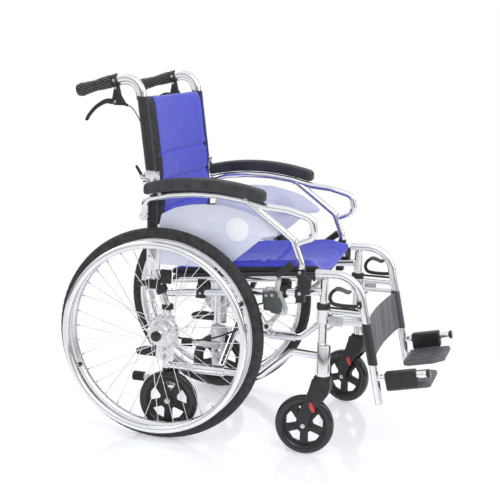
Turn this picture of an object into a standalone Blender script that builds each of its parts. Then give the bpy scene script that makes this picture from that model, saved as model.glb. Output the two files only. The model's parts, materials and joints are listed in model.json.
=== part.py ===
"""A folding self-propelled wheelchair, modelled piece by piece at its real size.

Metres, +Z up, the origin on the floor under the middle of the chair.
The seated person looks along -Y. The left side is +X and the right side is -X.
Every piece comes in a right and a left copy, except the cross braces and the upholstery.
"""
from math import atan2, cos, hypot, pi, radians, sin, tan

import bmesh
import bpy
from mathutils import Matrix, Vector

# Fits and clearances
GAP = 0.0003
RUNNING_GAP = 0.0005
CUT_PAST = 0.010

# Rear drive wheel
WHEEL_RADIUS = 0.2825
WHEEL_X = 0.260
TYRE_HALF_WIDTH = 0.0170
TYRE_HEIGHT = 0.0265
RIM_DEPTH = 0.0150
RIM_HALF_WIDTH = 0.0120
RIM_WELL = 0.0040
SPOKE_COUNT = 18
WHEEL_SEGMENTS = 32
SPOKE_RADIUS = 0.0011
AXLE_RADIUS = 0.0060
AXLE_END_X = 0.2920
DRUM_PLATE = 0.0045
DRUM_RADIUS = 0.0440
HUB_DRUM = 0.0400
HUB_BARREL = 0.0150
HUB_FLANGE = 0.0250
HUB_FLANGE_X = 0.2800
FLANGE_HALF = 0.0020
DRUM_DEPTH = 0.0090
DRUM_SLOPE = 0.0030
SPOKE_SEAT = 0.0040
HUB_CAP = 0.0135
HUB_CAP_X = 0.3000
STUD_RADIUS = 0.0050
HANDRIM_FIRST_STUD = radians(65.0)
HANDRIM_INSET = 0.0372
HANDRIM_RADIUS = WHEEL_RADIUS - HANDRIM_INSET
HANDRIM_TUBE = 0.0095
HUB_SEGMENTS = 12
HANDRIM_OFFSET = 0.0550
HANDRIM_STUDS = 4

# Castor and transit wheels
CASTOR_RADIUS = 0.078
CASTOR_HALF_WIDTH = 0.0125
CASTOR_TRAIL = 0.042
CASTOR_X = 0.240
CASTOR_Y = -0.437
CASTOR_LEFT_SWIVEL = radians(18.0)
TRANSIT_RADIUS = 0.082
TRANSIT_HALF_WIDTH = 0.0110
TRANSIT_X = 0.2235
TRANSIT_Y = -0.014
TRANSIT_Z = 0.092
SMALL_WHEEL_SPOKES = 5
SMALL_WHEEL_SEGMENTS = 20
WEB_SHARE = 0.45
HUB_SHARE = 0.20
RIM_SHARE = 0.72
WINDOW_SHARE = 0.72
WHEEL_STEP = 0.0020
CASTOR_AXLE = 0.0045
FORK_ARM = 0.0060
FORK_ROOM = 0.0020
FORK_EDGE = 0.0030
FORK_CROWN_FRONT = ((-0.021, 0.0), (-0.024, -0.030))
FORK_CROWN_REAR = ((0.031, -0.026), (0.021, 0.0))
FORK_ARM_OUTLINE = ((-0.030, 0.045), (-0.013, -0.004), (-0.008, -0.013), (0.008, -0.013), (0.013, 0.0),
                    (0.008, 0.040))

# Side frame
FRAME_X = 0.220
TUBE = 0.0110
RAIL_RISE = 0.0987
RAIL_REAR_Z = 0.385
POST_Y = -0.427
POST_TOP_Z = 0.4605
POST_FOOT_Z = 0.250
REAR_POST_Y = -0.004
REAR_POST_FOOT_Z = 0.176
REAR_POST_BEND_Z = 0.335
RAIL_TUBE = 0.0098
FRAME_BEND = 0.050
LOWER_BEND = 0.030
LOWER_TUBE_Z = 0.188
LOWER_BEND_START_Y = -0.264
LOWER_BEND_END_Y = -0.350
LOWER_FRONT_Z = 0.262
HOUSING_RADIUS = 0.0175
HOUSING_FOOT_Z = 0.212
HOUSING_TOP_Z = 0.292
HOUSING_CAP = 0.005
STEM_RADIUS = 0.0075
SADDLE_IN = 0.1810
SADDLE_OUT = 0.2290
SADDLE_HALF = 0.0135
SADDLE_WALL = 0.0030
SADDLE_EDGE = 0.0020
SOCKET_IN = 0.2240
SOCKET_OUT = 0.2560
SOCKET_HALF = 0.0120
SOCKET_EDGE = 0.0020
SOCKET_FOOT_Z = 0.4120
SOCKET_TOP_Z = 0.4335
PIN_RADIUS = 0.0050
PIN_DEPTH = 0.020
PIN_ROOM = 0.002
AXLE_PLATE_THICK = 0.0045
PLATE_CORNER = 0.008
PLATE_HOLE_ROWS = 3
PLATE_HOLE_FIRST = 0.0170
PLATE_HOLE_PITCH = 0.0185
PLATE_HOLE = 0.0045
AXLE_PLATE_Y = (-0.030, 0.020)
AXLE_PLATE_Z = (0.203, 0.328)
BRACKET_HALF = 0.0033
BRACKET_TOP_Z = 0.205
BRACKET_BELOW_AXLE = 0.015
BRACKET_FOOT_HALF = 0.017
BRACKET_TOP_HALF = 0.024
TIPPING_X = 0.1985
TIPPING_Z = 0.142
TIPPING_END_Y = 0.098
TIPPING_TUBE = 0.0092
TIPPING_GRIP = 0.0130
TIPPING_GRIP_LENGTH = 0.032
TIPPING_RIBS = 3
RIB_GROOVE = 0.0015
GRIP_WALL = 0.006
TRANSIT_AXLE = 0.0040
TRANSIT_SPACER = 0.0080
BOLT_HEAD = 0.0075
BOLT_HEAD_DEPTH = 0.0030

# Cross brace and seat
SEAT_RAIL_X = 0.197
SEAT_RAIL = 0.0113
SEAT_RAIL_REAR_Y = -0.012
SEAT_RAIL_FRONT_Y = -0.396
SEAT_RAIL_REAR_Z = 0.4202
LEG_TUBE = 0.0092
BRACE_SLEEVE_SHORT = 0.014
BRACE_SLEEVE_LONG = 0.072
BRACE_CROSS_Y = -0.1655
BRACE_SPACING = 0.025
BRACE_PIN = 0.0050
BRACE_PIN_GAP = 0.0018
SADDLES_Y = (-0.097, -0.318)
SEAT_HALF_WIDTH = 0.198
SEAT_SAG = 0.030
SEAT_DISH_HALF = 0.182
SEAT_REAR_Y = 0.000
SEAT_FRONT_Y = -0.404
SEAT_SEAMS = (0.30, 0.62)
CUSHION_THICK = 0.030
SEAM_DEPTH = 0.004
SLEEVE_RADIUS = 0.0135
CABLE_INSET = 0.004
CABLE_RADIUS = 0.0025
CABLE_ROUTE = ((0.0093, -0.0415, 0.2703), (0.0093, -0.0550, 0.2680), (0.0020, -0.0900, 0.2660),
               (0.0, -0.1400, 0.2780), (0.0, -0.1900, 0.3000), (0.0, -0.2350, 0.3280), (0.0, -0.2640, 0.3560))

# Back and canes
CANE_X = 0.220
BACK_THICK = 0.024
BACK_SAG = 0.010
BACK_OFFSET = 0.002
BACK_HALF_WIDTH = 0.2085
JOINT_REACH = 0.054
BACK_FOOT_Z = 0.560
BACK_SPLIT = 0.0010
BACK_TOP_Z = 0.900
BACK_SEAM_Z = 0.749
RELEASE_PIVOT = (0.0735, 0.690)
RELEASE_HALF = 0.0045
RELEASE_OUTLINE = ((0.0115, 0.0075), (0.0172, 0.0075), (0.0212, 0.0185), (0.0345, 0.0405),
                   (0.0310, 0.0435), (0.0165, 0.0225), (0.0100, 0.0135))
RELEASE_PIN = 0.0015
RELEASE_EDGE = 0.0010
CANE_TUBE = 0.0110
HINGE_Y = 0.060
HINGE_Z = 0.676
CANE_JOINT = (0.0270, 0.432)
CANE_MIDDLE = (0.0430, 0.520)
JOINT_HALF = 0.0130
JOINT_TONGUE = 0.0050
JOINT_EAR = 0.0100
JOINT_SHOULDER = 0.0012
HINGE_PIN = 0.0030
HINGE_PIN_END = 0.0005
EAR_DROP = 0.022
EAR_FOOT_Y = 0.003
BLOCK_DEPTH = 0.030
BASE_DROP = 0.026
BASE_REAR_Y = -0.002
CHEEK_REACH = 0.0180
CHEEK_OUTLINE = ((0.0170, 0.0185), (0.006, 0.022), (0.006, 0.030))
SLOT_FRONT = 0.0083
SLOT_TOP = 0.035
TONGUE_TOP = ((0.005, 0.020), (-0.0095, 0.020))
CANE_TOP = (0.044, 0.662)
CANE_STRAIGHT = 0.028
CANE_BEND = 0.080
UPPER_FOOT = (0.0485, 0.694)
UPPER_BEND = (0.087, 0.9580)
UPPER_END = (0.252, 0.9080)
LEVER_PIVOT = (0.152, 0.882)
LEVER_TIP = (0.236, 0.832)
LEVER_EDGE = 0.0012
LEVER_HALF = 0.0045
NECK_TOP = ((-0.006, 0.0), (0.002, 0.0), (0.001, -0.021))
NECK_FOOT = ((0.008, 0.004), (0.002, -0.009), (-0.022, -0.009), (-0.026, -0.002), (-0.010, 0.016))
NECK_EDGE = 0.0015
LEVER_SLOT = ((-0.010, -0.020), (0.030, -0.020), (0.030, 0.011), (-0.010, 0.011))
PIN_PROUD = 0.001
LEVER_ROOT = ((-0.006, -0.006), (-0.006, 0.005), (0.004, 0.0075), (0.030, 0.005), (0.058, -0.012))
LEVER_END = ((-0.004, 0.015), (0.002, 0.0), (-0.006, -0.002))
LEVER_UNDERSIDE = ((0.052, -0.020), (0.026, -0.007), (0.004, -0.008))
GRIP_START = 0.0765
HANDLE_BEND = 0.0450
COLLAR_LENGTH = 0.0140
GRIP_CAP = 0.0080
GRIP_SHAPE = ((0.0, 0.0150), (0.09, 0.0172), (0.27, 0.0165), (0.50, 0.0145), (0.72, 0.0160),
              (0.88, 0.0180), (1.0, 0.0150))
CLAMP_RADIUS = 0.0165
CLAMP_HALF = 0.0075
LEVER_PIN = 0.0025

# Armrest
ARM_X = 0.246
ARM_TUBE = 0.0093
ARM_PIVOT = (0.056, 0.590)
ARM_PIN = 0.0050
ARM_HEAD = 0.0080
ARM_HEAD_DEPTH = 0.0042
PAD_X = 0.259
PAD_HALF_WIDTH = 0.0215
PAD_HALF_THICK = 0.0160
PAD_REAR_Y = 0.050
PAD_FRONT_Y = -0.272
PAD_END_Z = 0.664
PAD_RISE = 0.022
PAD_STEPS = 10
PAD_END_DROP = 0.004
PAD_EDGE = 0.005
GUARD_HALF = 0.0013
BADGE_PLACE = (-0.196, 0.576)
BADGE_RADIUS = 0.0285
BADGE_THICK = 0.0012
GUARD_BELOW_BAR = 0.016
GUARD_REAR = ((0.012, 0.470), (0.014, 0.560), (0.006, 0.600))
GUARD_FRONT = ((-0.290, 0.608), (-0.335, 0.560), (-0.352, 0.535), (-0.345, 0.512), (-0.240, 0.478),
               (-0.120, 0.468))
LATCH_Y = -0.370
LATCH_TOP_Z = 0.482
LATCH_HALF = 0.0110
LATCH_EDGE = 0.003
EYE_RADIUS = 0.0118
EYE_WALL = 0.0025
BAR_DROP = 0.004
ARM_LOOP = ((-0.330, 0.633), (-0.394, 0.616), (-0.402, 0.570), (-0.360, 0.552))
ARM_REAR_BEND = 0.022
ARM_EASY_BEND = 0.050
ARM_LOOP_BEND = 0.020
ARM_LEG_BEND = 0.030
LEG_TOP_SHARE = 0.85
LEG_BEND = (-0.346, 0.560)
LEG_STRAIGHT_Z = 0.500

# Parking brake
BRAKE_PLATE_HALF = 0.0030
BRAKE_BAR_HALF = 0.0022
BRAKE_GRIP_X = 0.270
BRAKE_PIN = 0.0035
BRAKE_PIN_PROUD = 0.0020
BRAKE_PLATE_FRONT = ((-0.012, -0.014), (0.010, -0.014))
BRAKE_PLATE_REAR = ((0.034, -0.012), (0.034, 0.026), (-0.014, 0.026))
BRAKE_NOSE = (-0.014, 0.006)
BRAKE_CORNER = 0.005
BRAKE_FOOT = 0.008
BRAKE_FOOT_BEHIND = 0.018
BRAKE_BAR_OUTLINE = ((-0.008, -0.008), (0.008, -0.008), (-0.003, 0.060), (-0.017, 0.060))
BRAKE_NECK = (-0.010, 0.050)
BRAKE_KNEE = (-0.014, 0.073)
BRAKE_TIP = (-0.052, 0.103)
BRAKE_NECK_RADIUS = 0.0052
BRAKE_GRIP = 0.0085
BRAKE_GRIP_END = 0.0105
SHOE_HALF_WIDTH = 0.0065
SHOE_CORNER = 0.0030
BRAKE_PIVOT_AHEAD = 0.0195
SHOE_PIVOT_AHEAD = 0.0395
BRAKE_PIVOT = (-WHEEL_RADIUS - BRAKE_PIVOT_AHEAD, 0.398)
SHOE_PIVOT = (-WHEEL_RADIUS - SHOE_PIVOT_AHEAD, 0.372)
ROLLER_RADIUS = 0.0100
ROLLER_OFF = 0.0050
ROLLER_ANGLE = radians(10.2)

# Leg rest
HANGER_X = 0.220
HANGER_TOP_Z = 0.4725
HANGER_REAR_Y = -0.404
HANGER_CORNER = (-0.512, 0.4765)
HANGER_FOOT = (-0.583, 0.150)
HANGER_BEND = 0.070
COLLAR_WALL = 0.006
STRUTS_Z = (0.352, 0.376)
STRUT_TUBE = 0.0065
HANGER_LEVER_PIVOT = (-0.5215, 0.402)
HANGER_LEVER_OUTLINE = ((-0.009, -0.013), (0.006, -0.012), (0.007, 0.010), (0.004, 0.020), (0.012, 0.030),
                        (0.030, 0.028), (0.036, 0.032), (0.032, 0.038), (0.008, 0.040), (-0.007, 0.026),
                        (-0.010, 0.008))
HANGER_LEVER_HALF = 0.0030
HANGER_LEVER_EDGE = 0.0010
FOOT_AXIS_Z = 0.2145
FOOT_TUBE = 0.0072
FOOT_TUBE_LENGTH = 0.128
PLATE_INNER_X = 0.080
PLATE_DROP = 0.028
PLATE_THICK = 0.012
PLATE_REAR = 0.016
PLATE_FRONT = 0.130
PLATE_RIBS = 7
BLOCK_HALF_WIDTH = 0.0150
BLOCK_START = 0.022
BLOCK_LENGTH = 0.080
BLOCK_BELOW = 0.030
BLOCK_ABOVE = 0.015
BLOCK_EDGE = 0.0045
PLATE_ROUND = 0.006
PLATE_EDGE = 0.002
PLATE_CHAMFERS = (0.012, 0.020, 0.030, 0.022)
PLATE_RIB_HALF = 0.002
PLATE_RIB_RISE = 0.0018
PLATE_TAB = 0.010
STRAP_TOP_Z = 0.352
STRAP_FOOT_Z = 0.253
STRAP_HALF = 0.0018
STRAP_HALF_WIDTH = 0.2085
STRAP_SAG = 0.012
KNOB_LENGTH = 0.010
KNOB_RADIUS = 0.0105
KNOB_OVERLAP = 0.004

# Where things are counted from: the modelling below is about the rear axle, and the finished
# pieces are set back so that the origin lies under the middle of the chair
FOOT_AXIS = (-0.9782, 0.2079)
FOOT_AXIS_Y = HANGER_FOOT[0] + 0.0085
FRONT_REACH = FOOT_AXIS_Y + (FOOT_TUBE_LENGTH + KNOB_LENGTH) * FOOT_AXIS[0] - 0.0022
CHAIR_MIDDLE = -(WHEEL_RADIUS + FRONT_REACH) / 2

SIDES = (("right", -1), ("left", 1))

COLOURS = {
    "alloy": ((0.80, 0.81, 0.82), 0.28, 1.0),
    "steel": ((0.66, 0.67, 0.68), 0.30, 1.0),
    "tyre": ((0.055, 0.055, 0.06), 0.75, 0.0),
    "black_plastic": ((0.022, 0.022, 0.025), 0.42, 0.0),
    "grey_plastic": ((0.16, 0.16, 0.19), 0.55, 0.0),
    "blue_fabric": ((0.035, 0.05, 0.42), 0.80, 0.0),
    "black_fabric": ((0.025, 0.025, 0.028), 0.85, 0.0),
    "guard": ((0.72, 0.72, 0.86), 0.25, 0.0),
}


# Scene and materials
def clear_scene():
    """Remove whatever the file starts with."""
    for obj in list(bpy.data.objects):
        bpy.data.objects.remove(obj, do_unlink=True)


def new_collection(name):
    """A collection linked to the scene."""
    made = bpy.data.collections.new(name)
    bpy.context.scene.collection.children.link(made)
    return made


def material(name):
    """One Principled material of the colour table, made at its first use."""
    found = bpy.data.materials.get(name)
    if found:
        return found
    colour, rough, metallic = COLOURS[name]
    made = bpy.data.materials.new(name)
    made.use_nodes = True
    shader = made.node_tree.nodes["Principled BSDF"]
    shader.inputs["Base Color"].default_value = (*colour, 1.0)
    shader.inputs["Roughness"].default_value = rough
    shader.inputs["Metallic"].default_value = metallic
    return made


clear_scene()
PARTS = new_collection("wheelchair")
CUTTERS = new_collection("cutters")


# Mesh helpers
def link_mesh(name, mesh, group=None):
    """An object of this mesh in a collection."""
    obj = bpy.data.objects.new(name, mesh)
    (group or CUTTERS).objects.link(obj)
    return obj


def from_bmesh(name, bm):
    """A closed mesh object with its faces pointing out."""
    bmesh.ops.remove_doubles(bm, verts=bm.verts, dist=1e-6)
    bmesh.ops.recalc_face_normals(bm, faces=bm.faces)
    mesh = bpy.data.meshes.new(name)
    bm.to_mesh(mesh)
    bm.free()
    return link_mesh(name, mesh)


def evaluated(obj):
    """A new mesh object made of another as its modifiers leave it, which it takes the place of."""
    bpy.context.view_layer.update()
    graph = bpy.context.evaluated_depsgraph_get()
    mesh = bpy.data.meshes.new_from_object(obj.evaluated_get(graph))
    bm = bmesh.new()
    bm.from_mesh(mesh)
    bm.transform(obj.matrix_world)
    name = obj.name
    bpy.data.objects.remove(obj, do_unlink=True)
    return from_bmesh(name, bm)


def combine(base, others, operation):
    """One mesh object: the base joined with, or cut by, each of the others."""
    for other in others:
        step = base.modifiers.new(operation.lower(), "BOOLEAN")
        step.operation = operation
        step.solver = "EXACT"
        step.object = other
        base = evaluated(base)
        bpy.data.objects.remove(other, do_unlink=True)
    return base


def fuse(base, *others):
    """Weld pieces that run into each other."""
    return combine(base, others, "UNION")


def cut(base, *cutters):
    """Take the cutters out of a piece."""
    return combine(base, cutters, "DIFFERENCE")


def finish(obj, name, side, finish_name, pivot=(0.0, 0.0, 0.0)):
    """Name a piece, give it its material and put its origin on its joint."""
    obj.name = name if side is None else f"{name}_{side}"
    obj.data.name = obj.name
    obj.data.materials.clear()
    obj.data.materials.append(material(finish_name))
    obj.data.transform(Matrix.Translation(-Vector(pivot)))
    obj.location = Vector(pivot) + Vector((0.0, CHAIR_MIDDLE, 0.0))
    obj.data.shade_smooth()
    obj.data.set_sharp_from_angle(angle=radians(35))
    CUTTERS.objects.unlink(obj)
    PARTS.objects.link(obj)
    return obj


def rounded(points, bends, steps=3):
    """A path whose inner corners are arcs of the given radii."""
    pts = [Vector(p) for p in points]
    if isinstance(bends, (int, float)):
        bends = [bends] * (len(pts) - 2)
    path = [pts[0]]
    for before, corner, after, radius in zip(pts, pts[1:], pts[2:], bends):
        one = (before - corner).normalized()
        two = (after - corner).normalized()
        half = one.angle(two) / 2
        reach = radius / tan(half)
        centre = corner + (one + two).normalized() * (radius / sin(half))
        first = corner + one * reach - centre
        last = corner + two * reach - centre
        for k in range(steps + 1):
            path.append(centre + first.normalized().slerp(last.normalized(), k / steps) * radius)
    path.append(pts[-1])
    return path


def tube(points, radius, sides=8):
    """A bent round tube along a path, closed at its ends."""
    curve = bpy.data.curves.new("tube", "CURVE")
    curve.dimensions = "3D"
    curve.bevel_depth = radius
    curve.bevel_resolution = sides // 2 - 2
    curve.use_fill_caps = True
    spline = curve.splines.new("POLY")
    spline.points.add(len(points) - 1)
    for point, place in zip(spline.points, points):
        point.co = (*place, 1.0)
    obj = bpy.data.objects.new("tube", curve)
    CUTTERS.objects.link(obj)
    return evaluated(obj)


def rod(start, end, radius, sides=10, end_radius=None):
    """A straight round bar, or a taper, between two points."""
    start, end = Vector(start), Vector(end)
    bm = bmesh.new()
    run = end - start
    turn = run.to_track_quat("Z", "Y").to_matrix().to_4x4()
    place = Matrix.Translation((start + end) / 2) @ turn
    bmesh.ops.create_cone(bm, cap_ends=True, segments=sides, radius1=radius,
                          radius2=radius if end_radius is None else end_radius,
                          depth=run.length, matrix=place)
    return from_bmesh("rod", bm)


def block(low, high, bevel=0.0, turn=None):
    """A box between two corners, with its edges broken."""
    low, high = Vector(low), Vector(high)
    bm = bmesh.new()
    bmesh.ops.create_cube(bm, size=1.0)
    bmesh.ops.transform(bm, matrix=Matrix.Diagonal((*(high - low), 1.0)), verts=bm.verts)
    bmesh.ops.transform(bm, matrix=Matrix.Translation((low + high) / 2), verts=bm.verts)
    if bevel:
        bmesh.ops.bevel(bm, geom=bm.edges[:], offset=bevel, segments=1, affect="EDGES")
    if turn is not None:
        bmesh.ops.transform(bm, matrix=turn, verts=bm.verts)
    return from_bmesh("block", bm)


def plate(outlines, middle_x, half, edge=0.0):
    """A flat plate in a side plane from outlines of (y, z) points; inner outlines are holes."""
    curve = bpy.data.curves.new("plate", "CURVE")
    curve.dimensions = "2D"
    curve.fill_mode = "BOTH"
    curve.extrude = half - edge
    if edge:
        curve.bevel_depth = edge
        curve.offset = -edge
        curve.bevel_resolution = 0
    for outline in outlines:
        spline = curve.splines.new("POLY")
        spline.points.add(len(outline) - 1)
        spline.use_cyclic_u = True
        for point, (y, z) in zip(spline.points, outline):
            point.co = (y, z, 0.0, 1.0)
    obj = bpy.data.objects.new("plate", curve)
    CUTTERS.objects.link(obj)
    # the curve's own X, Y and Z become the chair's Y, Z and X
    obj.matrix_world = Matrix(((0, 0, 1, middle_x), (1, 0, 0, 0), (0, 1, 0, 0), (0, 0, 0, 1)))
    return evaluated(obj)


def circle(centre, radius, sides=8, start=0.0):
    """Points of a circle in a side plane."""
    return [(centre[0] + radius * cos(start + 2 * pi * k / sides),
             centre[1] + radius * sin(start + 2 * pi * k / sides)) for k in range(sides)]


def smooth_outline(points, radius, steps=2):
    """A closed outline with every corner rounded."""
    ring = [(y, z, 0.0) for y, z in points]
    ring = [ring[-1], *ring, ring[0]]
    path = rounded(ring, radius, steps)[1:-1]
    return [(p.x, p.y) for p in path]


def turned(profile, segments, centre, axis=(1, 0, 0), closed=False):
    """A profile of (radius, along) points turned about an axis with a Screw modifier."""
    mesh = bpy.data.meshes.new("profile")
    count = len(profile)
    edges = [(k, k + 1) for k in range(count - 1)]
    if closed:
        edges.append((count - 1, 0))
    mesh.from_pydata([(r, 0.0, a) for r, a in profile], edges, [])
    obj = link_mesh("turned", mesh)
    screw = obj.modifiers.new("turn", "SCREW")
    screw.axis = "Z"
    screw.steps = segments
    screw.render_steps = segments
    screw.use_merge_vertices = True
    screw.merge_threshold = 0.00005
    lay = Vector(axis).to_track_quat("Z", "Y").to_matrix().to_4x4()
    obj.matrix_world = Matrix.Translation(centre) @ lay
    return evaluated(obj)


def ring(centre, axis, outer, inner, half, sides=12):
    """A plain collar."""
    profile = [(outer, half), (outer, -half), (inner, -half), (inner, half)]
    return turned(profile, sides, centre, axis, closed=True)


def bore_radius(radius, clearance, sides):
    """The radius of a faceted bore whose flats keep a clearance to a bar."""
    return (radius + clearance) / cos(pi / sides)


def across(side, x_in, x_out, place, radius, sides=10):
    """A round bar that runs straight out to one side."""
    return rod((side * x_in, *place), (side * x_out, *place), radius, sides)


def seat_rail_z(y):
    """Height of the seat rail's middle."""
    return SEAT_RAIL_REAR_Z - RAIL_RISE * (y - SEAT_RAIL_REAR_Y)


def frame_rail_z(y):
    """Height of the frame rail's middle, under the seat rail."""
    return RAIL_REAR_Z - RAIL_RISE * y


# Side frame
def side_frame(side, name):
    """The welded frame of one side: posts, rails, castor housing and the seat saddles."""
    x = side * FRAME_X
    rail_front = POST_Y
    frame = tube(rounded([(x, REAR_POST_Y, REAR_POST_FOOT_Z), (x, REAR_POST_Y, REAR_POST_BEND_Z),
                          (x, *CANE_JOINT)], FRAME_BEND), TUBE)
    rail = tube([(x, REAR_POST_Y, frame_rail_z(REAR_POST_Y)), (x, rail_front, frame_rail_z(rail_front))],
                RAIL_TUBE)
    front = tube([(x, POST_Y, POST_FOOT_Z), (x, POST_Y, POST_TOP_Z)], TUBE)
    lower = tube(rounded([(x, REAR_POST_Y, LOWER_TUBE_Z), (x, LOWER_BEND_START_Y, LOWER_TUBE_Z),
                          (x, LOWER_BEND_END_Y, LOWER_FRONT_Z), (side * CASTOR_X, CASTOR_Y, LOWER_FRONT_Z)],
                         LOWER_BEND, 2), RAIL_TUBE)
    housing = rod((side * CASTOR_X, CASTOR_Y, HOUSING_FOOT_Z), (side * CASTOR_X, CASTOR_Y, HOUSING_TOP_Z),
                  HOUSING_RADIUS, 16)
    frame = fuse(frame, rail, front, lower, housing)
    under_rail = (SEAT_RAIL + GAP) * hypot(1.0, RAIL_RISE)
    for y in SADDLES_Y:
        near, far = y + SADDLE_HALF, y - SADDLE_HALF
        foot = frame_rail_z(y) - RAIL_TUBE - SADDLE_WALL
        outline = [(far, foot), (near, foot), (near, seat_rail_z(near) - under_rail),
                   (far, seat_rail_z(far) - under_rail)]
        wide = SADDLE_OUT - SADDLE_IN
        frame = fuse(frame, plate([outline], side * (SADDLE_IN + wide / 2), wide / 2, SADDLE_EDGE))
    stem_bore = rod((side * CASTOR_X, CASTOR_Y, HOUSING_FOOT_Z - CUT_PAST),
                    (side * CASTOR_X, CASTOR_Y, HOUSING_TOP_Z - HOUSING_CAP),
                    bore_radius(STEM_RADIUS, RUNNING_GAP, 12), 12)
    low_x, high_x = sorted((side * SOCKET_IN, side * SOCKET_OUT))
    socket = block((low_x, LATCH_Y - SOCKET_HALF, SOCKET_FOOT_Z),
                   (high_x, LATCH_Y + SOCKET_HALF, SOCKET_TOP_Z), SOCKET_EDGE)
    frame = fuse(frame, socket, parking_brake_plate(side))
    pin_bore = rod((x, POST_Y, POST_TOP_Z - PIN_DEPTH - PIN_ROOM), (x, POST_Y, POST_TOP_Z + CUT_PAST),
                   bore_radius(PIN_RADIUS, RUNNING_GAP, 8), 8)
    frame = cut(frame, stem_bore, pin_bore)
    finish(frame, "side_frame", name, "alloy")


def axle_plate(side, name):
    """The drilled plate outside the rear post that the axle is bolted to."""
    low, high = AXLE_PLATE_Z
    rear, front = AXLE_PLATE_Y
    middle = (rear + front) / 2
    outline = smooth_outline([(rear, low), (front, low), (front, high), (rear, high)], PLATE_CORNER)
    holes = [circle((0.0, WHEEL_RADIUS), bore_radius(AXLE_RADIUS, GAP, 10), 10)]
    for row in range(PLATE_HOLE_ROWS):
        holes.append(circle((middle, low + PLATE_HOLE_FIRST + row * PLATE_HOLE_PITCH), PLATE_HOLE, 6))
    half = AXLE_PLATE_THICK / 2
    made = plate([outline, *holes], side * (FRAME_X + TUBE + GAP + half), half)
    finish(made, "axle_plate", name, "alloy")


def transit_bracket(side, name):
    """The plate that carries the small transit wheel, with its axle and the tipping tube."""
    x = FRAME_X - TUBE - GAP - BRACKET_HALF
    foot = TRANSIT_Z - BRACKET_BELOW_AXLE
    outline = smooth_outline([(TRANSIT_Y - BRACKET_FOOT_HALF, foot), (TRANSIT_Y + BRACKET_FOOT_HALF, foot),
                              (TRANSIT_Y + BRACKET_TOP_HALF, BRACKET_TOP_Z),
                              (TRANSIT_Y - BRACKET_TOP_HALF, BRACKET_TOP_Z)], PLATE_CORNER)
    made = plate([outline], side * x, BRACKET_HALF)
    place = (TRANSIT_Y, TRANSIT_Z)
    wheel_in = TRANSIT_X - TRANSIT_HALF_WIDTH
    wheel_out = TRANSIT_X + TRANSIT_HALF_WIDTH
    spacer = across(side, x, wheel_in - GAP, place, TRANSIT_SPACER, 10)
    axle = across(side, x, wheel_out + GAP + BOLT_HEAD_DEPTH / 2, place, TRANSIT_AXLE, 10)
    head = across(side, wheel_out + GAP, wheel_out + GAP + BOLT_HEAD_DEPTH, place, BOLT_HEAD, 6)
    handle_end = (side * TIPPING_X, TIPPING_END_Y - GRIP_WALL, TIPPING_Z)
    handle = rod((side * TIPPING_X, TRANSIT_Y, TIPPING_Z), handle_end, TIPPING_TUBE, 10)
    finish(fuse(made, spacer, axle, head, handle), "transit_bracket", name, "steel")


def tipping_grip(side, name):
    """The ribbed rubber sleeve on the tipping tube, which a helper treads on."""
    outer, inner = TIPPING_GRIP, bore_radius(TIPPING_TUBE, GAP, 10)
    start = TIPPING_END_Y - TIPPING_GRIP_LENGTH
    hollow = TIPPING_GRIP_LENGTH - GRIP_WALL + GAP
    profile = [(0.0, hollow), (inner, hollow), (inner, 0.0)]
    pitch = TIPPING_GRIP_LENGTH / TIPPING_RIBS
    for k in range(TIPPING_RIBS):
        profile += [(outer, k * pitch + RIB_GROOVE), (outer, (k + 1) * pitch - RIB_GROOVE)]
        if k < TIPPING_RIBS - 1:
            profile.append((outer - RIB_GROOVE, (k + 1) * pitch))
    profile += [(outer - RIB_GROOVE, TIPPING_GRIP_LENGTH), (0.0, TIPPING_GRIP_LENGTH)]
    made = turned(profile, 10, (side * TIPPING_X, start, TIPPING_Z), (0, 1, 0))
    finish(made, "tipping_grip", name, "black_plastic")


def hub_brake(side, name):
    """The fixed plate of the drum brake with the axle that the wheel turns on."""
    inner = FRAME_X + TUBE + GAP + AXLE_PLATE_THICK + GAP
    disc = across(side, inner, inner + DRUM_PLATE, (0.0, WHEEL_RADIUS), DRUM_RADIUS, 20)
    stub = across(side, FRAME_X + TUBE + GAP, inner + 0.001, (0.0, WHEEL_RADIUS), AXLE_RADIUS, 10)
    axle = across(side, inner, AXLE_END_X, (0.0, WHEEL_RADIUS), AXLE_RADIUS, 10)
    finish(fuse(disc, stub, axle), "hub_brake", name, "steel")


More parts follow.
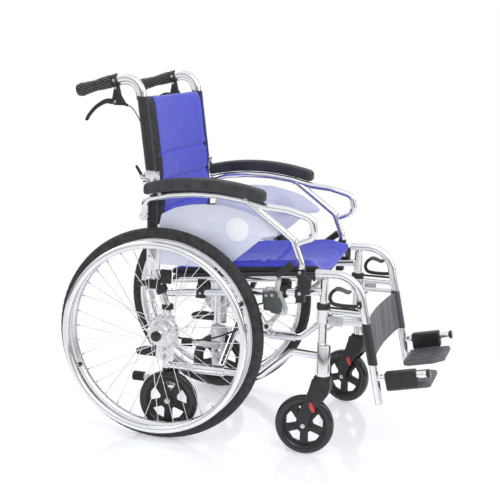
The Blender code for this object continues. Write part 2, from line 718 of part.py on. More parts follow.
# Rear wheel
def rear_wheel(side, name):
    """Rim, spokes and hub of a drive wheel."""
    centre = Vector((side * WHEEL_X, 0.0, WHEEL_RADIUS))
    outer = WHEEL_RADIUS - TYRE_HEIGHT - GAP
    inner = outer - RIM_DEPTH
    w = RIM_HALF_WIDTH
    well = inner + RIM_WELL
    rim = turned([(outer, w), (outer, -w), (well, -w), (inner, -w * 0.45), (inner, w * 0.45), (well, w)],
                 WHEEL_SEGMENTS, centre, (1, 0, 0), closed=True)
    drum_in = FRAME_X + TUBE + AXLE_PLATE_THICK + DRUM_PLATE + 2 * GAP + RUNNING_GAP
    bore = AXLE_RADIUS + RUNNING_GAP
    bore_end = AXLE_END_X + 2 * RUNNING_GAP
    profile = [(0.0, HUB_CAP_X), (HUB_CAP, HUB_CAP_X), (HUB_CAP, HUB_FLANGE_X + 1.5 * FLANGE_HALF),
               (HUB_FLANGE, HUB_FLANGE_X + FLANGE_HALF), (HUB_FLANGE, HUB_FLANGE_X - FLANGE_HALF),
               (HUB_BARREL, HUB_FLANGE_X - 3 * FLANGE_HALF), (HUB_BARREL, drum_in + DRUM_DEPTH + DRUM_SLOPE),
               (HUB_DRUM, drum_in + DRUM_DEPTH), (HUB_DRUM, drum_in), (bore, drum_in), (bore, bore_end),
               (0.0, bore_end)]
    profile = [(r, side * a) for r, a in profile]
    hub = turned(profile, HUB_SEGMENTS, (0.0, 0.0, WHEEL_RADIUS), (1, 0, 0))
    spokes = []
    pair = 4 * pi / SPOKE_COUNT
    for k in range(SPOKE_COUNT):
        out = k % 2
        lean = 1 if out else -1
        turn = 2 * pi * k / SPOKE_COUNT
        hub_r = (HUB_FLANGE if out else HUB_DRUM) - SPOKE_SEAT
        hub_x = HUB_FLANGE_X if out else drum_in + DRUM_DEPTH / 2
        hub_turn = turn + lean * pair
        start = (side * hub_x, hub_r * cos(hub_turn), WHEEL_RADIUS + hub_r * sin(hub_turn))
        end = (side * WHEEL_X, well * cos(turn), WHEEL_RADIUS + well * sin(turn))
        spokes.append(rod(start, end, SPOKE_RADIUS, 4))
    finish(fuse(rim, *spokes, hub), "rear_wheel", name, "alloy", centre)


def rear_tyre(side, name):
    """The grey-black rubber tyre on the rim."""
    centre = Vector((side * WHEEL_X, 0.0, WHEEL_RADIUS))
    foot = WHEEL_RADIUS - TYRE_HEIGHT
    w = TYRE_HALF_WIDTH
    half = [(foot, w * 0.76), (foot + TYRE_HEIGHT * 0.40, w), (foot + TYRE_HEIGHT * 0.86, w * 0.66)]
    profile = half + [(WHEEL_RADIUS, 0.0)] + [(r, -a) for r, a in reversed(half)]
    made = turned(profile, WHEEL_SEGMENTS, centre, (1, 0, 0), closed=True)
    finish(made, "rear_tyre", name, "tyre", centre)


def handrim(side, name):
    """The push ring with the four studs that hold it to the rim."""
    centre = Vector((side * WHEEL_X, 0.0, WHEEL_RADIUS))
    x = side * (WHEEL_X + HANDRIM_OFFSET)
    profile = circle((HANDRIM_RADIUS, 0.0), HANDRIM_TUBE, 6)
    made = turned(profile, WHEEL_SEGMENTS, (x, 0.0, WHEEL_RADIUS), (1, 0, 0), closed=True)
    seat = side * (WHEEL_X + RIM_HALF_WIDTH + GAP)
    for k in range(HANDRIM_STUDS):
        turn = HANDRIM_FIRST_STUD + 2 * pi * k / HANDRIM_STUDS
        place = (HANDRIM_RADIUS * cos(turn), WHEEL_RADIUS + HANDRIM_RADIUS * sin(turn))
        made = fuse(made, rod((seat, *place), (x, *place), STUD_RADIUS, 8))
    finish(made, "handrim", name, "alloy", centre)


# Small wheels
def star_wheel(centre, radius, half, bore, turn):
    """A small solid-tyred wheel with five windows between its spokes."""
    web = half * WEB_SHARE
    hub = radius * HUB_SHARE
    rim = radius * RIM_SHARE
    top = [(bore, half), (hub, half), (hub + WHEEL_STEP, web), (rim, web), (rim + WHEEL_STEP, half * 0.9),
           (radius, half * 0.5)]
    profile = top + [(r, -a) for r, a in reversed(top)]
    axle = Matrix.Rotation(turn, 3, "Z") @ Vector((1, 0, 0))
    made = turned(profile, SMALL_WHEEL_SEGMENTS, centre, axle, closed=True)
    windows = []
    for k in range(SMALL_WHEEL_SPOKES):
        middle = 2 * pi * (k + 0.25) / SMALL_WHEEL_SPOKES
        spread = pi / SMALL_WHEEL_SPOKES
        wide = spread * WINDOW_SHARE
        corners = [(hub + 2 * WHEEL_STEP, middle), (rim - 2 * WHEEL_STEP, middle - wide), (rim, middle),
                   (rim - 2 * WHEEL_STEP, middle + wide)]
        outline = [(r * cos(a), r * sin(a)) for r, a in corners]
        window = plate([outline], 0.0, half * 2)
        window.data.transform(Matrix.Translation(centre) @ Matrix.Rotation(turn, 4, "Z"))
        windows.append(window)
    return cut(made, *windows)


def transit_wheel(side, name):
    """The small wheel that carries the chair when the drive wheels are off."""
    centre = Vector((side * TRANSIT_X, TRANSIT_Y, TRANSIT_Z))
    made = star_wheel(centre, TRANSIT_RADIUS, TRANSIT_HALF_WIDTH, TRANSIT_AXLE + RUNNING_GAP, 0.0)
    finish(made, "transit_wheel", name, "tyre", centre)


def castor_turn(side):
    """How far a castor is swivelled at rest."""
    return CASTOR_LEFT_SWIVEL if side > 0 else 0.0


def castor_centre(side):
    """The middle of a castor wheel, trailing behind its stem."""
    turn = castor_turn(side)
    trail = Vector((sin(turn), cos(turn), 0.0)) * CASTOR_TRAIL
    return Vector((side * CASTOR_X, CASTOR_Y, CASTOR_RADIUS)) + trail


def castor_fork(side, name):
    """The moulded fork with its swivel stem and the wheel's axle bolt."""
    arm_in = CASTOR_HALF_WIDTH + FORK_ROOM
    arm_out = arm_in + FORK_ARM
    top = HOUSING_FOOT_Z - GAP
    outline = [(y, top + z) for y, z in FORK_CROWN_FRONT]
    outline += [(CASTOR_TRAIL + y, CASTOR_RADIUS + z) for y, z in FORK_ARM_OUTLINE]
    outline += [(y, top + z) for y, z in FORK_CROWN_REAR]
    body = plate([outline], 0.0, arm_out, FORK_EDGE)
    clear = CASTOR_RADIUS + 2 * FORK_ROOM
    gap_round = [(CASTOR_TRAIL + clear * cos(pi * k / 10), CASTOR_RADIUS + clear * sin(pi * k / 10))
                 for k in range(11)]
    gap_round = [(CASTOR_TRAIL + clear, 0.0), *gap_round, (CASTOR_TRAIL - clear, 0.0)]
    slot = plate([gap_round], 0.0, arm_in)
    body = cut(body, slot)
    stem = rod((0, 0, top - FORK_ROOM), (0, 0, HOUSING_TOP_Z - HOUSING_CAP - PIN_ROOM), STEM_RADIUS, 12)
    bolt_end = arm_out + BOLT_HEAD_DEPTH
    bolt = rod((-bolt_end, CASTOR_TRAIL, CASTOR_RADIUS), (bolt_end, CASTOR_TRAIL, CASTOR_RADIUS),
               CASTOR_AXLE, 10)
    body = fuse(body, stem, bolt)
    stem_place = Vector((side * CASTOR_X, CASTOR_Y, 0.0))
    body.data.transform(Matrix.Translation(stem_place) @ Matrix.Rotation(-castor_turn(side), 4, "Z"))
    finish(body, "castor_fork", name, "grey_plastic", stem_place)


def castor_wheel(side, name):
    """The front wheel in its fork."""
    centre = castor_centre(side)
    made = star_wheel(centre, CASTOR_RADIUS, CASTOR_HALF_WIDTH, CASTOR_AXLE + RUNNING_GAP, -castor_turn(side))
    finish(made, "castor_wheel", name, "tyre", centre)


# Back canes
def joint_plate(side, outline, half, x=CANE_X):
    """A plate of the back's folding joint, its outline counted from the hinge."""
    return plate([[(HINGE_Y + y, HINGE_Z + z) for y, z in outline]], side * x, half)


def lower_cane(side, name):
    """The lower half of the back post, with the fixed half of the folding joint."""
    x = side * CANE_X
    lean = Vector((0.0, CANE_JOINT[0] - REAR_POST_Y, CANE_JOINT[1] - REAR_POST_BEND_Z)).normalized()
    foot = Vector((x, *CANE_JOINT)) + lean * GAP
    made = tube(rounded([foot, foot + lean * CANE_STRAIGHT, (x, *CANE_MIDDLE), (x, *CANE_TOP)], CANE_BEND, 1),
                CANE_TUBE)
    ear = JOINT_EAR
    ear_outline = circle_arc(ear, 0.0, pi, 6) + [(-ear + 0.001, -EAR_DROP), (EAR_FOOT_Y, -EAR_DROP)]
    ear_in = JOINT_TONGUE + GAP
    ear_out = JOINT_HALF - RUNNING_GAP
    for outward in (-1, 1):
        made = fuse(made, joint_plate(side, ear_outline, (ear_out - ear_in) / 2,
                                      CANE_X + outward * (ear_out + ear_in) / 2))
    shoulder = ear + JOINT_SHOULDER
    base = [(-BLOCK_DEPTH, -BASE_DROP), (BASE_REAR_Y, -BASE_DROP), (BASE_REAR_Y, -shoulder),
            (-shoulder, -shoulder), (-shoulder, -GAP / 2), (-BLOCK_DEPTH, -GAP / 2)]
    pin_reach = JOINT_HALF + HINGE_PIN_END
    pin = across(side, CANE_X - pin_reach, CANE_X + pin_reach, (HINGE_Y, HINGE_Z), HINGE_PIN, 8)
    head_in = ARM_X + ARM_TUBE + GAP
    arm_pin = across(side, CANE_X, head_in + ARM_HEAD_DEPTH / 2, ARM_PIVOT, ARM_PIN, 8)
    arm_head = across(side, head_in, head_in + ARM_HEAD_DEPTH, ARM_PIVOT, ARM_HEAD, 8)
    made = fuse(made, joint_plate(side, base, JOINT_HALF), pin, arm_pin, arm_head)
    finish(made, "lower_cane", name, "alloy")


def circle_arc(radius, start, end, steps):
    """Points of an arc about the origin of a side plane."""
    return [(radius * cos(start + (end - start) * k / steps), radius * sin(start + (end - start) * k / steps))
            for k in range(steps + 1)]


def upper_cane(side, name):
    """The upper half of the back post, bent back into the push handle."""
    x = side * CANE_X
    made = tube(rounded([(x, *UPPER_FOOT), (x, *UPPER_BEND), (x, *UPPER_END)], HANDLE_BEND, 6), CANE_TUBE)
    ear = JOINT_EAR
    shoulder = ear + JOINT_SHOULDER
    cap = [(-BLOCK_DEPTH, GAP / 2), (-shoulder, GAP / 2), (-shoulder, shoulder), (CHEEK_REACH, shoulder),
           *CHEEK_OUTLINE, (-BLOCK_DEPTH, BLOCK_DEPTH)]
    lever_slot = [(SLOT_FRONT, ear), (BLOCK_DEPTH, ear), (BLOCK_DEPTH, SLOT_TOP), (SLOT_FRONT, SLOT_TOP)]
    tongue = circle_arc(ear, -pi, 0.0, 6) + list(TONGUE_TOP)
    made = fuse(made, joint_plate(side, cap, JOINT_HALF), joint_plate(side, tongue, JOINT_TONGUE - GAP))
    made = cut(made, across(side, CANE_X - 2 * CUT_PAST, CANE_X + 2 * CUT_PAST, (HINGE_Y, HINGE_Z),
                            bore_radius(HINGE_PIN, RUNNING_GAP, 8), 8),
               joint_plate(side, lever_slot, RELEASE_HALF + GAP))
    pin_end = JOINT_HALF - PIN_PROUD
    made = fuse(made, across(side, CANE_X - pin_end, CANE_X + pin_end, RELEASE_PIVOT, RELEASE_PIN, 8))
    finish(made, "upper_cane", name, "alloy", (x, HINGE_Y, HINGE_Z))


def handle_direction():
    """The way the push handle runs, backwards."""
    return Vector((0.0, UPPER_END[0] - UPPER_BEND[0], UPPER_END[1] - UPPER_BEND[1])).normalized()


def push_grip(side, name):
    """The moulded grip on the push handle, waisted for the hand."""
    along = handle_direction()
    bend = Vector((side * CANE_X, *UPPER_BEND))
    bore = bore_radius(CANE_TUBE, GAP, 12)
    end = (Vector((side * CANE_X, *UPPER_END)) - bend).length
    length = end + GRIP_CAP - GRIP_START
    hollow = end + GAP - GRIP_START
    profile = [(0.0, hollow), (bore, hollow), (bore, 0.0)]
    profile += [(radius, share * length) for share, radius in GRIP_SHAPE]
    profile.append((0.0, length))
    made = turned(profile, 12, bend + along * GRIP_START, along)
    finish(made, "push_grip", name, "black_plastic", (side * CANE_X, HINGE_Y, HINGE_Z))


def lever_bracket(side, name):
    """The clamp on the handle that carries the attendant's brake lever, with its cable's first stretch."""
    along = handle_direction()
    x = side * CANE_X
    bend = Vector((x, *UPPER_BEND))
    collar = rod(bend + along * (GRIP_START - COLLAR_LENGTH), bend + along * (GRIP_START - GAP),
                 CLAMP_RADIUS, 12)
    clamp = bend + along * (GRIP_START - COLLAR_LENGTH / 2)
    neck = [(clamp.y + y, clamp.z + z) for y, z in NECK_TOP]
    neck += [(LEVER_PIVOT[0] + y, LEVER_PIVOT[1] + z) for y, z in NECK_FOOT]
    made = fuse(collar, plate([neck], x, CLAMP_HALF, NECK_EDGE))
    slot = [(LEVER_PIVOT[0] + y, LEVER_PIVOT[1] + z) for y, z in LEVER_SLOT]
    bore = rod(bend + along * (GRIP_START - 2 * COLLAR_LENGTH), bend + along * (GRIP_START + CUT_PAST),
               bore_radius(CANE_TUBE, GAP, 12), 12)
    made = cut(made, bore, plate([slot], x, LEVER_HALF + GAP))
    pin_reach = CLAMP_HALF + PIN_PROUD
    pin = across(side, CANE_X - pin_reach, CANE_X + pin_reach, LEVER_PIVOT, LEVER_PIN, 8)
    finish(fuse(made, pin), "lever_bracket", name, "black_plastic", (x, HINGE_Y, HINGE_Z))


def attendant_lever(side, name):
    """The curved brake lever below the push grip."""
    outline = [(LEVER_PIVOT[0] + y, LEVER_PIVOT[1] + z) for y, z in LEVER_ROOT]
    outline += [(LEVER_TIP[0] + y, LEVER_TIP[1] + z) for y, z in LEVER_END]
    outline += [(LEVER_PIVOT[0] + y, LEVER_PIVOT[1] + z) for y, z in LEVER_UNDERSIDE]
    made = plate([outline], side * CANE_X, LEVER_HALF, LEVER_EDGE)
    made = cut(made, across(side, CANE_X - CUT_PAST, CANE_X + CUT_PAST, LEVER_PIVOT,
                            bore_radius(LEVER_PIN, RUNNING_GAP, 8), 8))
    finish(made, "attendant_lever", name, "black_plastic", (side * CANE_X, *LEVER_PIVOT))


def release_lever(side, name):
    """The finger lever that frees the folding joint of the back."""
    outline = [(HINGE_Y + y, HINGE_Z + z) for y, z in RELEASE_OUTLINE]
    made = plate([outline], side * CANE_X, RELEASE_HALF, RELEASE_EDGE)
    made = cut(made, across(side, CANE_X - CUT_PAST, CANE_X + CUT_PAST, RELEASE_PIVOT,
                            bore_radius(RELEASE_PIN, RUNNING_GAP, 8), 8))
    finish(made, "release_lever", name, "black_plastic", (side * CANE_X, *RELEASE_PIVOT))


# Armrest
def pad_line(share):
    """The middle of the arm pad's section, from its rear end to its front one."""
    return (PAD_REAR_Y + (PAD_FRONT_Y - PAD_REAR_Y) * share, PAD_END_Z + PAD_RISE * 4 * share * (1 - share))


def arm_bar_line(share):
    """The middle of the tube that follows the pad's underside."""
    y, z = pad_line(share)
    steepest = 4 * PAD_RISE / (PAD_REAR_Y - PAD_FRONT_Y)
    return (y, z - PAD_HALF_THICK - GAP - ARM_TUBE * hypot(1.0, steepest))


def armrest_frame(side, name):
    """The bent arm tube with its front loop, the leg that plugs into the frame and the rear eye."""
    x = side * ARM_X
    bar = [arm_bar_line(k / 5) for k in range(6)]
    riser = [(ARM_PIVOT[0], ARM_PIVOT[1] + ARM_PIN + EYE_WALL), (ARM_PIVOT[0], bar[0][1] - BAR_DROP)]
    path = [*riser, *bar[1:], *ARM_LOOP]
    bends = [ARM_REAR_BEND] + [ARM_EASY_BEND] * 6 + [ARM_LOOP_BEND] * 3
    upper = tube(rounded([(x, y, z) for y, z in path], bends[:len(path) - 2], 1), ARM_TUBE)
    leg = tube(rounded([(x, *arm_bar_line(LEG_TOP_SHARE)), (x, *LEG_BEND), (x, LATCH_Y, LEG_STRAIGHT_Z),
                        (x, LATCH_Y, SOCKET_TOP_Z + GAP)], ARM_LEG_BEND, 2), ARM_TUBE)
    latch = block((x - LATCH_HALF, LATCH_Y - LATCH_HALF, SOCKET_TOP_Z + GAP),
                  (x + LATCH_HALF, LATCH_Y + LATCH_HALF, LATCH_TOP_Z), LATCH_EDGE)
    eye = across(side, ARM_X - ARM_TUBE, ARM_X + ARM_TUBE - GAP, ARM_PIVOT, EYE_RADIUS, 12)
    made = fuse(upper, leg, latch, eye)
    bore = across(side, ARM_X - 2 * ARM_TUBE, ARM_X + 2 * ARM_TUBE, ARM_PIVOT,
                  bore_radius(ARM_PIN, RUNNING_GAP, 10), 10)
    made = cut(made, bore)
    finish(made, "armrest_frame", name, "alloy", (x, *ARM_PIVOT))


def arm_pad(side, name):
    """The long moulded pad, arched along its length."""
    upper = []
    lower = []
    for k in range(PAD_STEPS + 1):
        y, z = pad_line(k / PAD_STEPS)
        end = PAD_END_DROP if k in (0, PAD_STEPS) else 0.0
        upper.append((y, z + PAD_HALF_THICK - end))
        lower.append((y, z - PAD_HALF_THICK))
    made = plate([upper + lower[::-1]], side * PAD_X, PAD_HALF_WIDTH, PAD_EDGE)
    finish(made, "arm_pad", name, "black_plastic", (side * ARM_X, *ARM_PIVOT))


def side_guard(side, name):
    """The clear plastic skirt guard under the arm, with a plain round boss."""
    x = ARM_X - ARM_TUBE - GAP - GUARD_HALF
    bar = [arm_bar_line(k / 4) for k in range(1, 4)]
    top = [(y, z - GUARD_BELOW_BAR) for y, z in bar]
    made = plate([[*GUARD_REAR, *top, *GUARD_FRONT]], side * x, GUARD_HALF)
    badge = across(side, x, x + GUARD_HALF + BADGE_THICK, BADGE_PLACE, BADGE_RADIUS, 20)
    finish(fuse(made, badge), "side_guard", name, "guard", (side * ARM_X, *ARM_PIVOT))


# Parking brake
def brake_bar_x():
    """How far out the brake's lever bar lies, just outside its plate."""
    return FRAME_X + RAIL_TUBE + GAP + 2 * BRAKE_PLATE_HALF + GAP + BRAKE_BAR_HALF


def parking_brake_plate(side):
    """The plate that carries both pivots of the parking brake, part of the side frame."""
    x = FRAME_X + RAIL_TUBE + GAP + BRAKE_PLATE_HALF
    (ly, lz), (sy, sz) = BRAKE_PIVOT, SHOE_PIVOT
    corners = [(sy + y, sz + z) for y, z in BRAKE_PLATE_FRONT]
    corners += [(ly + y, lz + z) for y, z in BRAKE_PLATE_REAR]
    corners.append((sy + BRAKE_NOSE[0], sz + BRAKE_NOSE[1]))
    made = plate([smooth_outline(corners, BRAKE_CORNER)], side * x, BRAKE_PLATE_HALF)
    foot_y = ly + BRAKE_FOOT_BEHIND
    foot = across(side, FRAME_X, x, (foot_y, frame_rail_z(foot_y)), BRAKE_FOOT, 10)
    out = brake_bar_x() + BRAKE_BAR_HALF
    lever_pin = across(side, x, out + BRAKE_PIN_PROUD, BRAKE_PIVOT, BRAKE_PIN, 8)
    shoe_pin = across(side, x, out + 2 * BRAKE_BAR_HALF + 2 * GAP + BRAKE_PIN_PROUD, SHOE_PIVOT, BRAKE_PIN, 8)
    return fuse(made, foot, lever_pin, shoe_pin)


def parking_brake_lever(side, name):
    """The hand lever of the parking brake, with its black grip."""
    x = brake_bar_x()
    y, z = BRAKE_PIVOT
    outline = smooth_outline([(y + a, z + b) for a, b in BRAKE_BAR_OUTLINE], BRAKE_CORNER)
    bore = circle(BRAKE_PIVOT, bore_radius(BRAKE_PIN, RUNNING_GAP, 8), 8)
    bar = plate([outline, bore], side * x, BRAKE_BAR_HALF)
    knee = Vector((side * BRAKE_GRIP_X, y + BRAKE_KNEE[0], z + BRAKE_KNEE[1]))
    tip = Vector((side * BRAKE_GRIP_X, y + BRAKE_TIP[0], z + BRAKE_TIP[1]))
    neck = rod((side * x, y + BRAKE_NECK[0], z + BRAKE_NECK[1]), knee, BRAKE_NECK_RADIUS, 8)
    grip = rod(knee + (knee - tip).normalized() * BRAKE_GRIP / 2, tip, BRAKE_GRIP, 10, BRAKE_GRIP_END)
    finish(fuse(bar, neck, grip), "parking_brake_lever", name, "steel", (side * x, *BRAKE_PIVOT))


def parking_brake_shoe(side, name):
    """The arm and roller that the lever drives against the tyre."""
    x = brake_bar_x() + 2 * BRAKE_BAR_HALF + GAP
    reach = WHEEL_RADIUS + ROLLER_OFF + ROLLER_RADIUS
    roller = (-reach * cos(ROLLER_ANGLE), WHEEL_RADIUS + reach * sin(ROLLER_ANGLE))
    run = Vector((roller[0] - SHOE_PIVOT[0], roller[1] - SHOE_PIVOT[1]))
    out = run.normalized()
    wide = Vector((-out.y, out.x)) * SHOE_HALF_WIDTH
    start = Vector(SHOE_PIVOT) - out * SHOE_HALF_WIDTH
    end = Vector(roller) + out * SHOE_HALF_WIDTH / 3
    outline = [start - wide, end - wide, end + wide, start + wide]
    outline = smooth_outline([(p.x, p.y) for p in outline], SHOE_CORNER)
    bore = circle(SHOE_PIVOT, bore_radius(BRAKE_PIN, RUNNING_GAP, 8), 8)
    bar = plate([outline, bore], side * x, BRAKE_BAR_HALF)
    drum = across(side, x, WHEEL_X + TYRE_HALF_WIDTH, roller, ROLLER_RADIUS, 14)
    finish(fuse(bar, drum), "parking_brake_shoe", name, "steel", (side * x, *SHOE_PIVOT))


# Leg rest
def foot_point(side, along):
    """A point on the footplate's hinge axis."""
    return Vector((side * HANGER_X, FOOT_AXIS_Y + along * FOOT_AXIS[0], FOOT_AXIS_Z + along * FOOT_AXIS[1]))


def hanger_y(z):
    """Where the straight of the leg rest tube lies at a height."""
    drop = (HANGER_CORNER[1] - z) / (HANGER_CORNER[1] - HANGER_FOOT[1])
    return HANGER_CORNER[0] + (HANGER_FOOT[0] - HANGER_CORNER[0]) * drop


def hanger(side, name):
    """The swing-away leg rest tube with its hooks, struts and the footplate's hinge tube."""
    x = side * HANGER_X
    route = [(x, HANGER_REAR_Y, HANGER_TOP_Z), (x, *HANGER_CORNER), (x, *HANGER_FOOT)]
    main = tube(rounded(route, HANGER_BEND, 4), TUBE)
    pin = rod((x, POST_Y, HANGER_TOP_Z), (x, POST_Y, POST_TOP_Z - PIN_DEPTH), PIN_RADIUS, 8)
    made = fuse(main, pin)
    for z in STRUTS_Z:
        made = fuse(made, rod((x, POST_Y - TUBE - COLLAR_WALL / 2, z), (x, hanger_y(z), z), STRUT_TUBE, 8))
    low, high = min(STRUTS_Z), max(STRUTS_Z)
    collar = ring((x, POST_Y, (low + high) / 2), (0, 0, 1), TUBE + COLLAR_WALL, TUBE + RUNNING_GAP,
                  (high - low) / 2 + COLLAR_WALL, 12)
    hinge_start = foot_point(side, 0.0)
    hinge_end = foot_point(side, FOOT_TUBE_LENGTH)
    hinge = rod(hinge_start, hinge_end, FOOT_TUBE, 10)
    knob = rod(foot_point(side, FOOT_TUBE_LENGTH - KNOB_OVERLAP),
               foot_point(side, FOOT_TUBE_LENGTH + KNOB_LENGTH), KNOB_RADIUS, 10)
    made = fuse(made, collar, hinge, knob)
    finish(made, "hanger", name, "alloy", (x, POST_Y, HANGER_TOP_Z))


def hanger_lever(side, name):
    """The spring lever that frees the leg rest so that it swings away."""
    outline = [(HANGER_LEVER_PIVOT[0] + y, HANGER_LEVER_PIVOT[1] + z) for y, z in HANGER_LEVER_OUTLINE]
    made = plate([outline], side * (HANGER_X + TUBE + GAP + HANGER_LEVER_HALF), HANGER_LEVER_HALF,
                 HANGER_LEVER_EDGE)
    finish(made, "hanger_lever", name, "black_plastic", (side * HANGER_X, *HANGER_LEVER_PIVOT))


def along_foot(side, obj):
    """Lay a piece modelled along -Y at the origin on the footplate's hinge axis."""
    fy, fz = FOOT_AXIS
    tilt = Matrix.Rotation(-atan2(fz, -fy), 4, "X")
    obj.data.transform(Matrix.Translation((side * HANGER_X, FOOT_AXIS_Y, FOOT_AXIS_Z)) @ tilt)
    return obj


def footplate_sleeve(side, name):
    """The black block that turns on the hinge tube and carries the footplate."""
    front = BLOCK_START + BLOCK_LENGTH
    made = block((-BLOCK_HALF_WIDTH, -front, -BLOCK_BELOW), (BLOCK_HALF_WIDTH, -BLOCK_START, BLOCK_ABOVE),
                 BLOCK_EDGE)
    made = cut(made, rod((0, -front - CUT_PAST, 0), (0, -BLOCK_START + CUT_PAST, 0),
                         bore_radius(FOOT_TUBE, RUNNING_GAP, 12), 12))
    finish(along_foot(side, made), "footplate_sleeve", name, "black_plastic",
           (side * HANGER_X, FOOT_AXIS_Y, FOOT_AXIS_Z))


def footplate(side, name):
    """The ribbed foot rest, screwed to the inner face of its sleeve."""
    inner = HANGER_X - PLATE_INNER_X
    edge = BLOCK_HALF_WIDTH + GAP
    rear, front = PLATE_REAR, PLATE_FRONT
    a, b, c, d = PLATE_CHAMFERS
    corners = [(edge, rear + a), (edge + a, rear), (inner - b, rear), (inner, rear + b),
               (inner, front - c), (inner - c, front), (edge + d, front), (edge, front - d)]
    outline = smooth_outline(corners, PLATE_ROUND, 1)
    curve_half = PLATE_THICK / 2
    made = plate([outline], 0.0, curve_half, PLATE_EDGE)
    # the side plane's Y and Z become the distance inwards and the distance along the hinge
    lay = Matrix(((0, -side, 0, 0), (0, 0, -1, 0), (1, 0, 0, -PLATE_DROP - curve_half), (0, 0, 0, 1)))
    made.data.transform(lay)
    if side > 0:
        made.data.flip_normals()
    ribs = []
    for k in range(PLATE_RIBS):
        y = -(rear + c + k * (front - rear - 2 * c) / (PLATE_RIBS - 1))
        ends = sorted((-side * (edge + a), -side * (inner - a)))
        ribs.append(block((ends[0], y - PLATE_RIB_HALF, -PLATE_DROP - PLATE_EDGE),
                          (ends[1], y + PLATE_RIB_HALF, -PLATE_DROP + PLATE_RIB_RISE)))
    tab_ends = sorted((-side * edge, -side * (edge + PLATE_TAB)))
    tab = block((tab_ends[0], -front + c, -PLATE_DROP - PLATE_THICK * 0.6),
                (tab_ends[1], -rear - b, -PLATE_DROP + PLATE_THICK), PLATE_EDGE / 2)
    made = fuse(made, tab, *ribs)
    finish(along_foot(side, made), "footplate", name, "grey_plastic",
           (side * HANGER_X, FOOT_AXIS_Y, FOOT_AXIS_Z))


# Brake cable
def brake_cable(side, name):
    """The cable from the parking brake's plate to the hub brake, clipped under the frame rail."""
    x = FRAME_X + CABLE_INSET
    smooth = spline_points([Vector((side * (x + a), b, c)) for a, b, c in CABLE_ROUTE], 2)
    finish(tube(smooth, CABLE_RADIUS, 6), "brake_cable", name, "black_plastic")


def spline_points(route, steps):
    """A smooth curve through the route's points."""
    ends = [route[0] * 2 - route[1], *route, route[-1] * 2 - route[-2]]
    made = []
    for a, b, c, d in zip(ends, ends[1:], ends[2:], ends[3:]):
        for k in range(steps):
            t = k / steps
            made.append(((b * 2) + (c - a) * t + (a * 2 - b * 5 + c * 4 - d) * t ** 2
                         + (b * 3 - a - c * 3 + d) * t ** 3) / 2)
    made.append(route[-1])
    return made


# Cross brace and seat
def cross_brace(side, name):
    """One brace of the folding cross: its hinge sleeve, its leg and the seat rail on the far side."""
    leg_y = BRACE_CROSS_Y - side * BRACE_SPACING / 2
    foot = Vector((side * FRAME_X, leg_y, LOWER_TUBE_Z))
    top = Vector((-side * SEAT_RAIL_X, leg_y, seat_rail_z(leg_y)))
    sleeve_from = leg_y + side * BRACE_SLEEVE_SHORT
    sleeve_to = leg_y - side * BRACE_SLEEVE_LONG
    leg = tube([foot + (top - foot).normalized() * SLEEVE_RADIUS * 0.9, top], LEG_TUBE)
    sleeve = rod((foot.x, sleeve_from, LOWER_TUBE_Z), (foot.x, sleeve_to, LOWER_TUBE_Z), SLEEVE_RADIUS, 14)
    rail = tube([(-side * SEAT_RAIL_X, SEAT_RAIL_REAR_Y, seat_rail_z(SEAT_RAIL_REAR_Y)),
                 (-side * SEAT_RAIL_X, SEAT_RAIL_FRONT_Y, seat_rail_z(SEAT_RAIL_FRONT_Y))], SEAT_RAIL, 12)
    crossing = foot + (top - foot) * FRAME_X / (FRAME_X + SEAT_RAIL_X)
    made = fuse(leg, sleeve, rail)
    if side < 0:
        reach = BRACE_SPACING - LEG_TUBE - BRACE_PIN_GAP
        made = fuse(made, rod(crossing, crossing + Vector((0.0, -reach, 0.0)), BRACE_PIN, 10))
    ends = sorted((sleeve_from, sleeve_to))
    bore = bore_radius(RAIL_TUBE, RUNNING_GAP, 14)
    made = cut(made, rod((foot.x, ends[0] - CUT_PAST, LOWER_TUBE_Z),
                         (foot.x, ends[1] + CUT_PAST, LOWER_TUBE_Z), bore, 14))
    finish(made, "cross_brace", name, "alloy", foot)


def soft_sheet(name, columns, rows, thickness, material_name, place):
    """A closed soft form lofted between two faces over a grid; place gives a point of each face."""
    bm = bmesh.new()
    faces = []
    for face in (0, 1):
        faces.append([[bm.verts.new(place(i / columns, j / rows, face)) for i in range(columns + 1)]
                      for j in range(rows + 1)])
    low, high = faces
    for j in range(rows):
        for i in range(columns):
            bm.faces.new((low[j][i], low[j + 1][i], low[j + 1][i + 1], low[j][i + 1]))
            bm.faces.new((high[j][i], high[j][i + 1], high[j + 1][i + 1], high[j + 1][i]))
    rim = [(0, i) for i in range(columns)] + [(j, columns) for j in range(rows)]
    rim += [(rows, i) for i in range(columns, 0, -1)] + [(j, 0) for j in range(rows, 0, -1)]
    for (j, i), (m, n) in zip(rim, rim[1:] + rim[:1]):
        bm.faces.new((low[j][i], low[m][n], high[m][n], high[j][i]))
    made = from_bmesh(name, bm)
    finish(made, name, None, material_name)


def channel(share, seams, width, depth):
    """How far sewn channels draw a surface in at a share of its length."""
    return sum(depth * max(0.0, 1 - abs(share - seam) / width) for seam in seams)


def seat_cushion():
    """The seat: a black sling hung between the rails with the blue cushion on it, as one soft form."""
    def place(u, v, face):
        share = sin((2 * u - 1) * pi / 2)
        across_x = share * SEAT_HALF_WIDTH
        y = SEAT_REAR_Y + (SEAT_FRONT_Y - SEAT_REAR_Y) * v
        level = seat_rail_z(y) + SEAT_RAIL + GAP
        dish = SEAT_SAG * max(0.0, 1 - (across_x / SEAT_DISH_HALF) ** 2)
        if face == 0:
            return (across_x, y, level - dish)
        crown = CUSHION_THICK * (1 - 0.55 * share ** 6) * (1 - 0.5 * (2 * v - 1) ** 10)
        crown -= channel(v, SEAT_SEAMS, 0.07, SEAM_DEPTH)
        return (across_x, y, level - dish + crown)

    soft_sheet("seat_cushion", 12, 12, CUSHION_THICK, "blue_fabric", place)


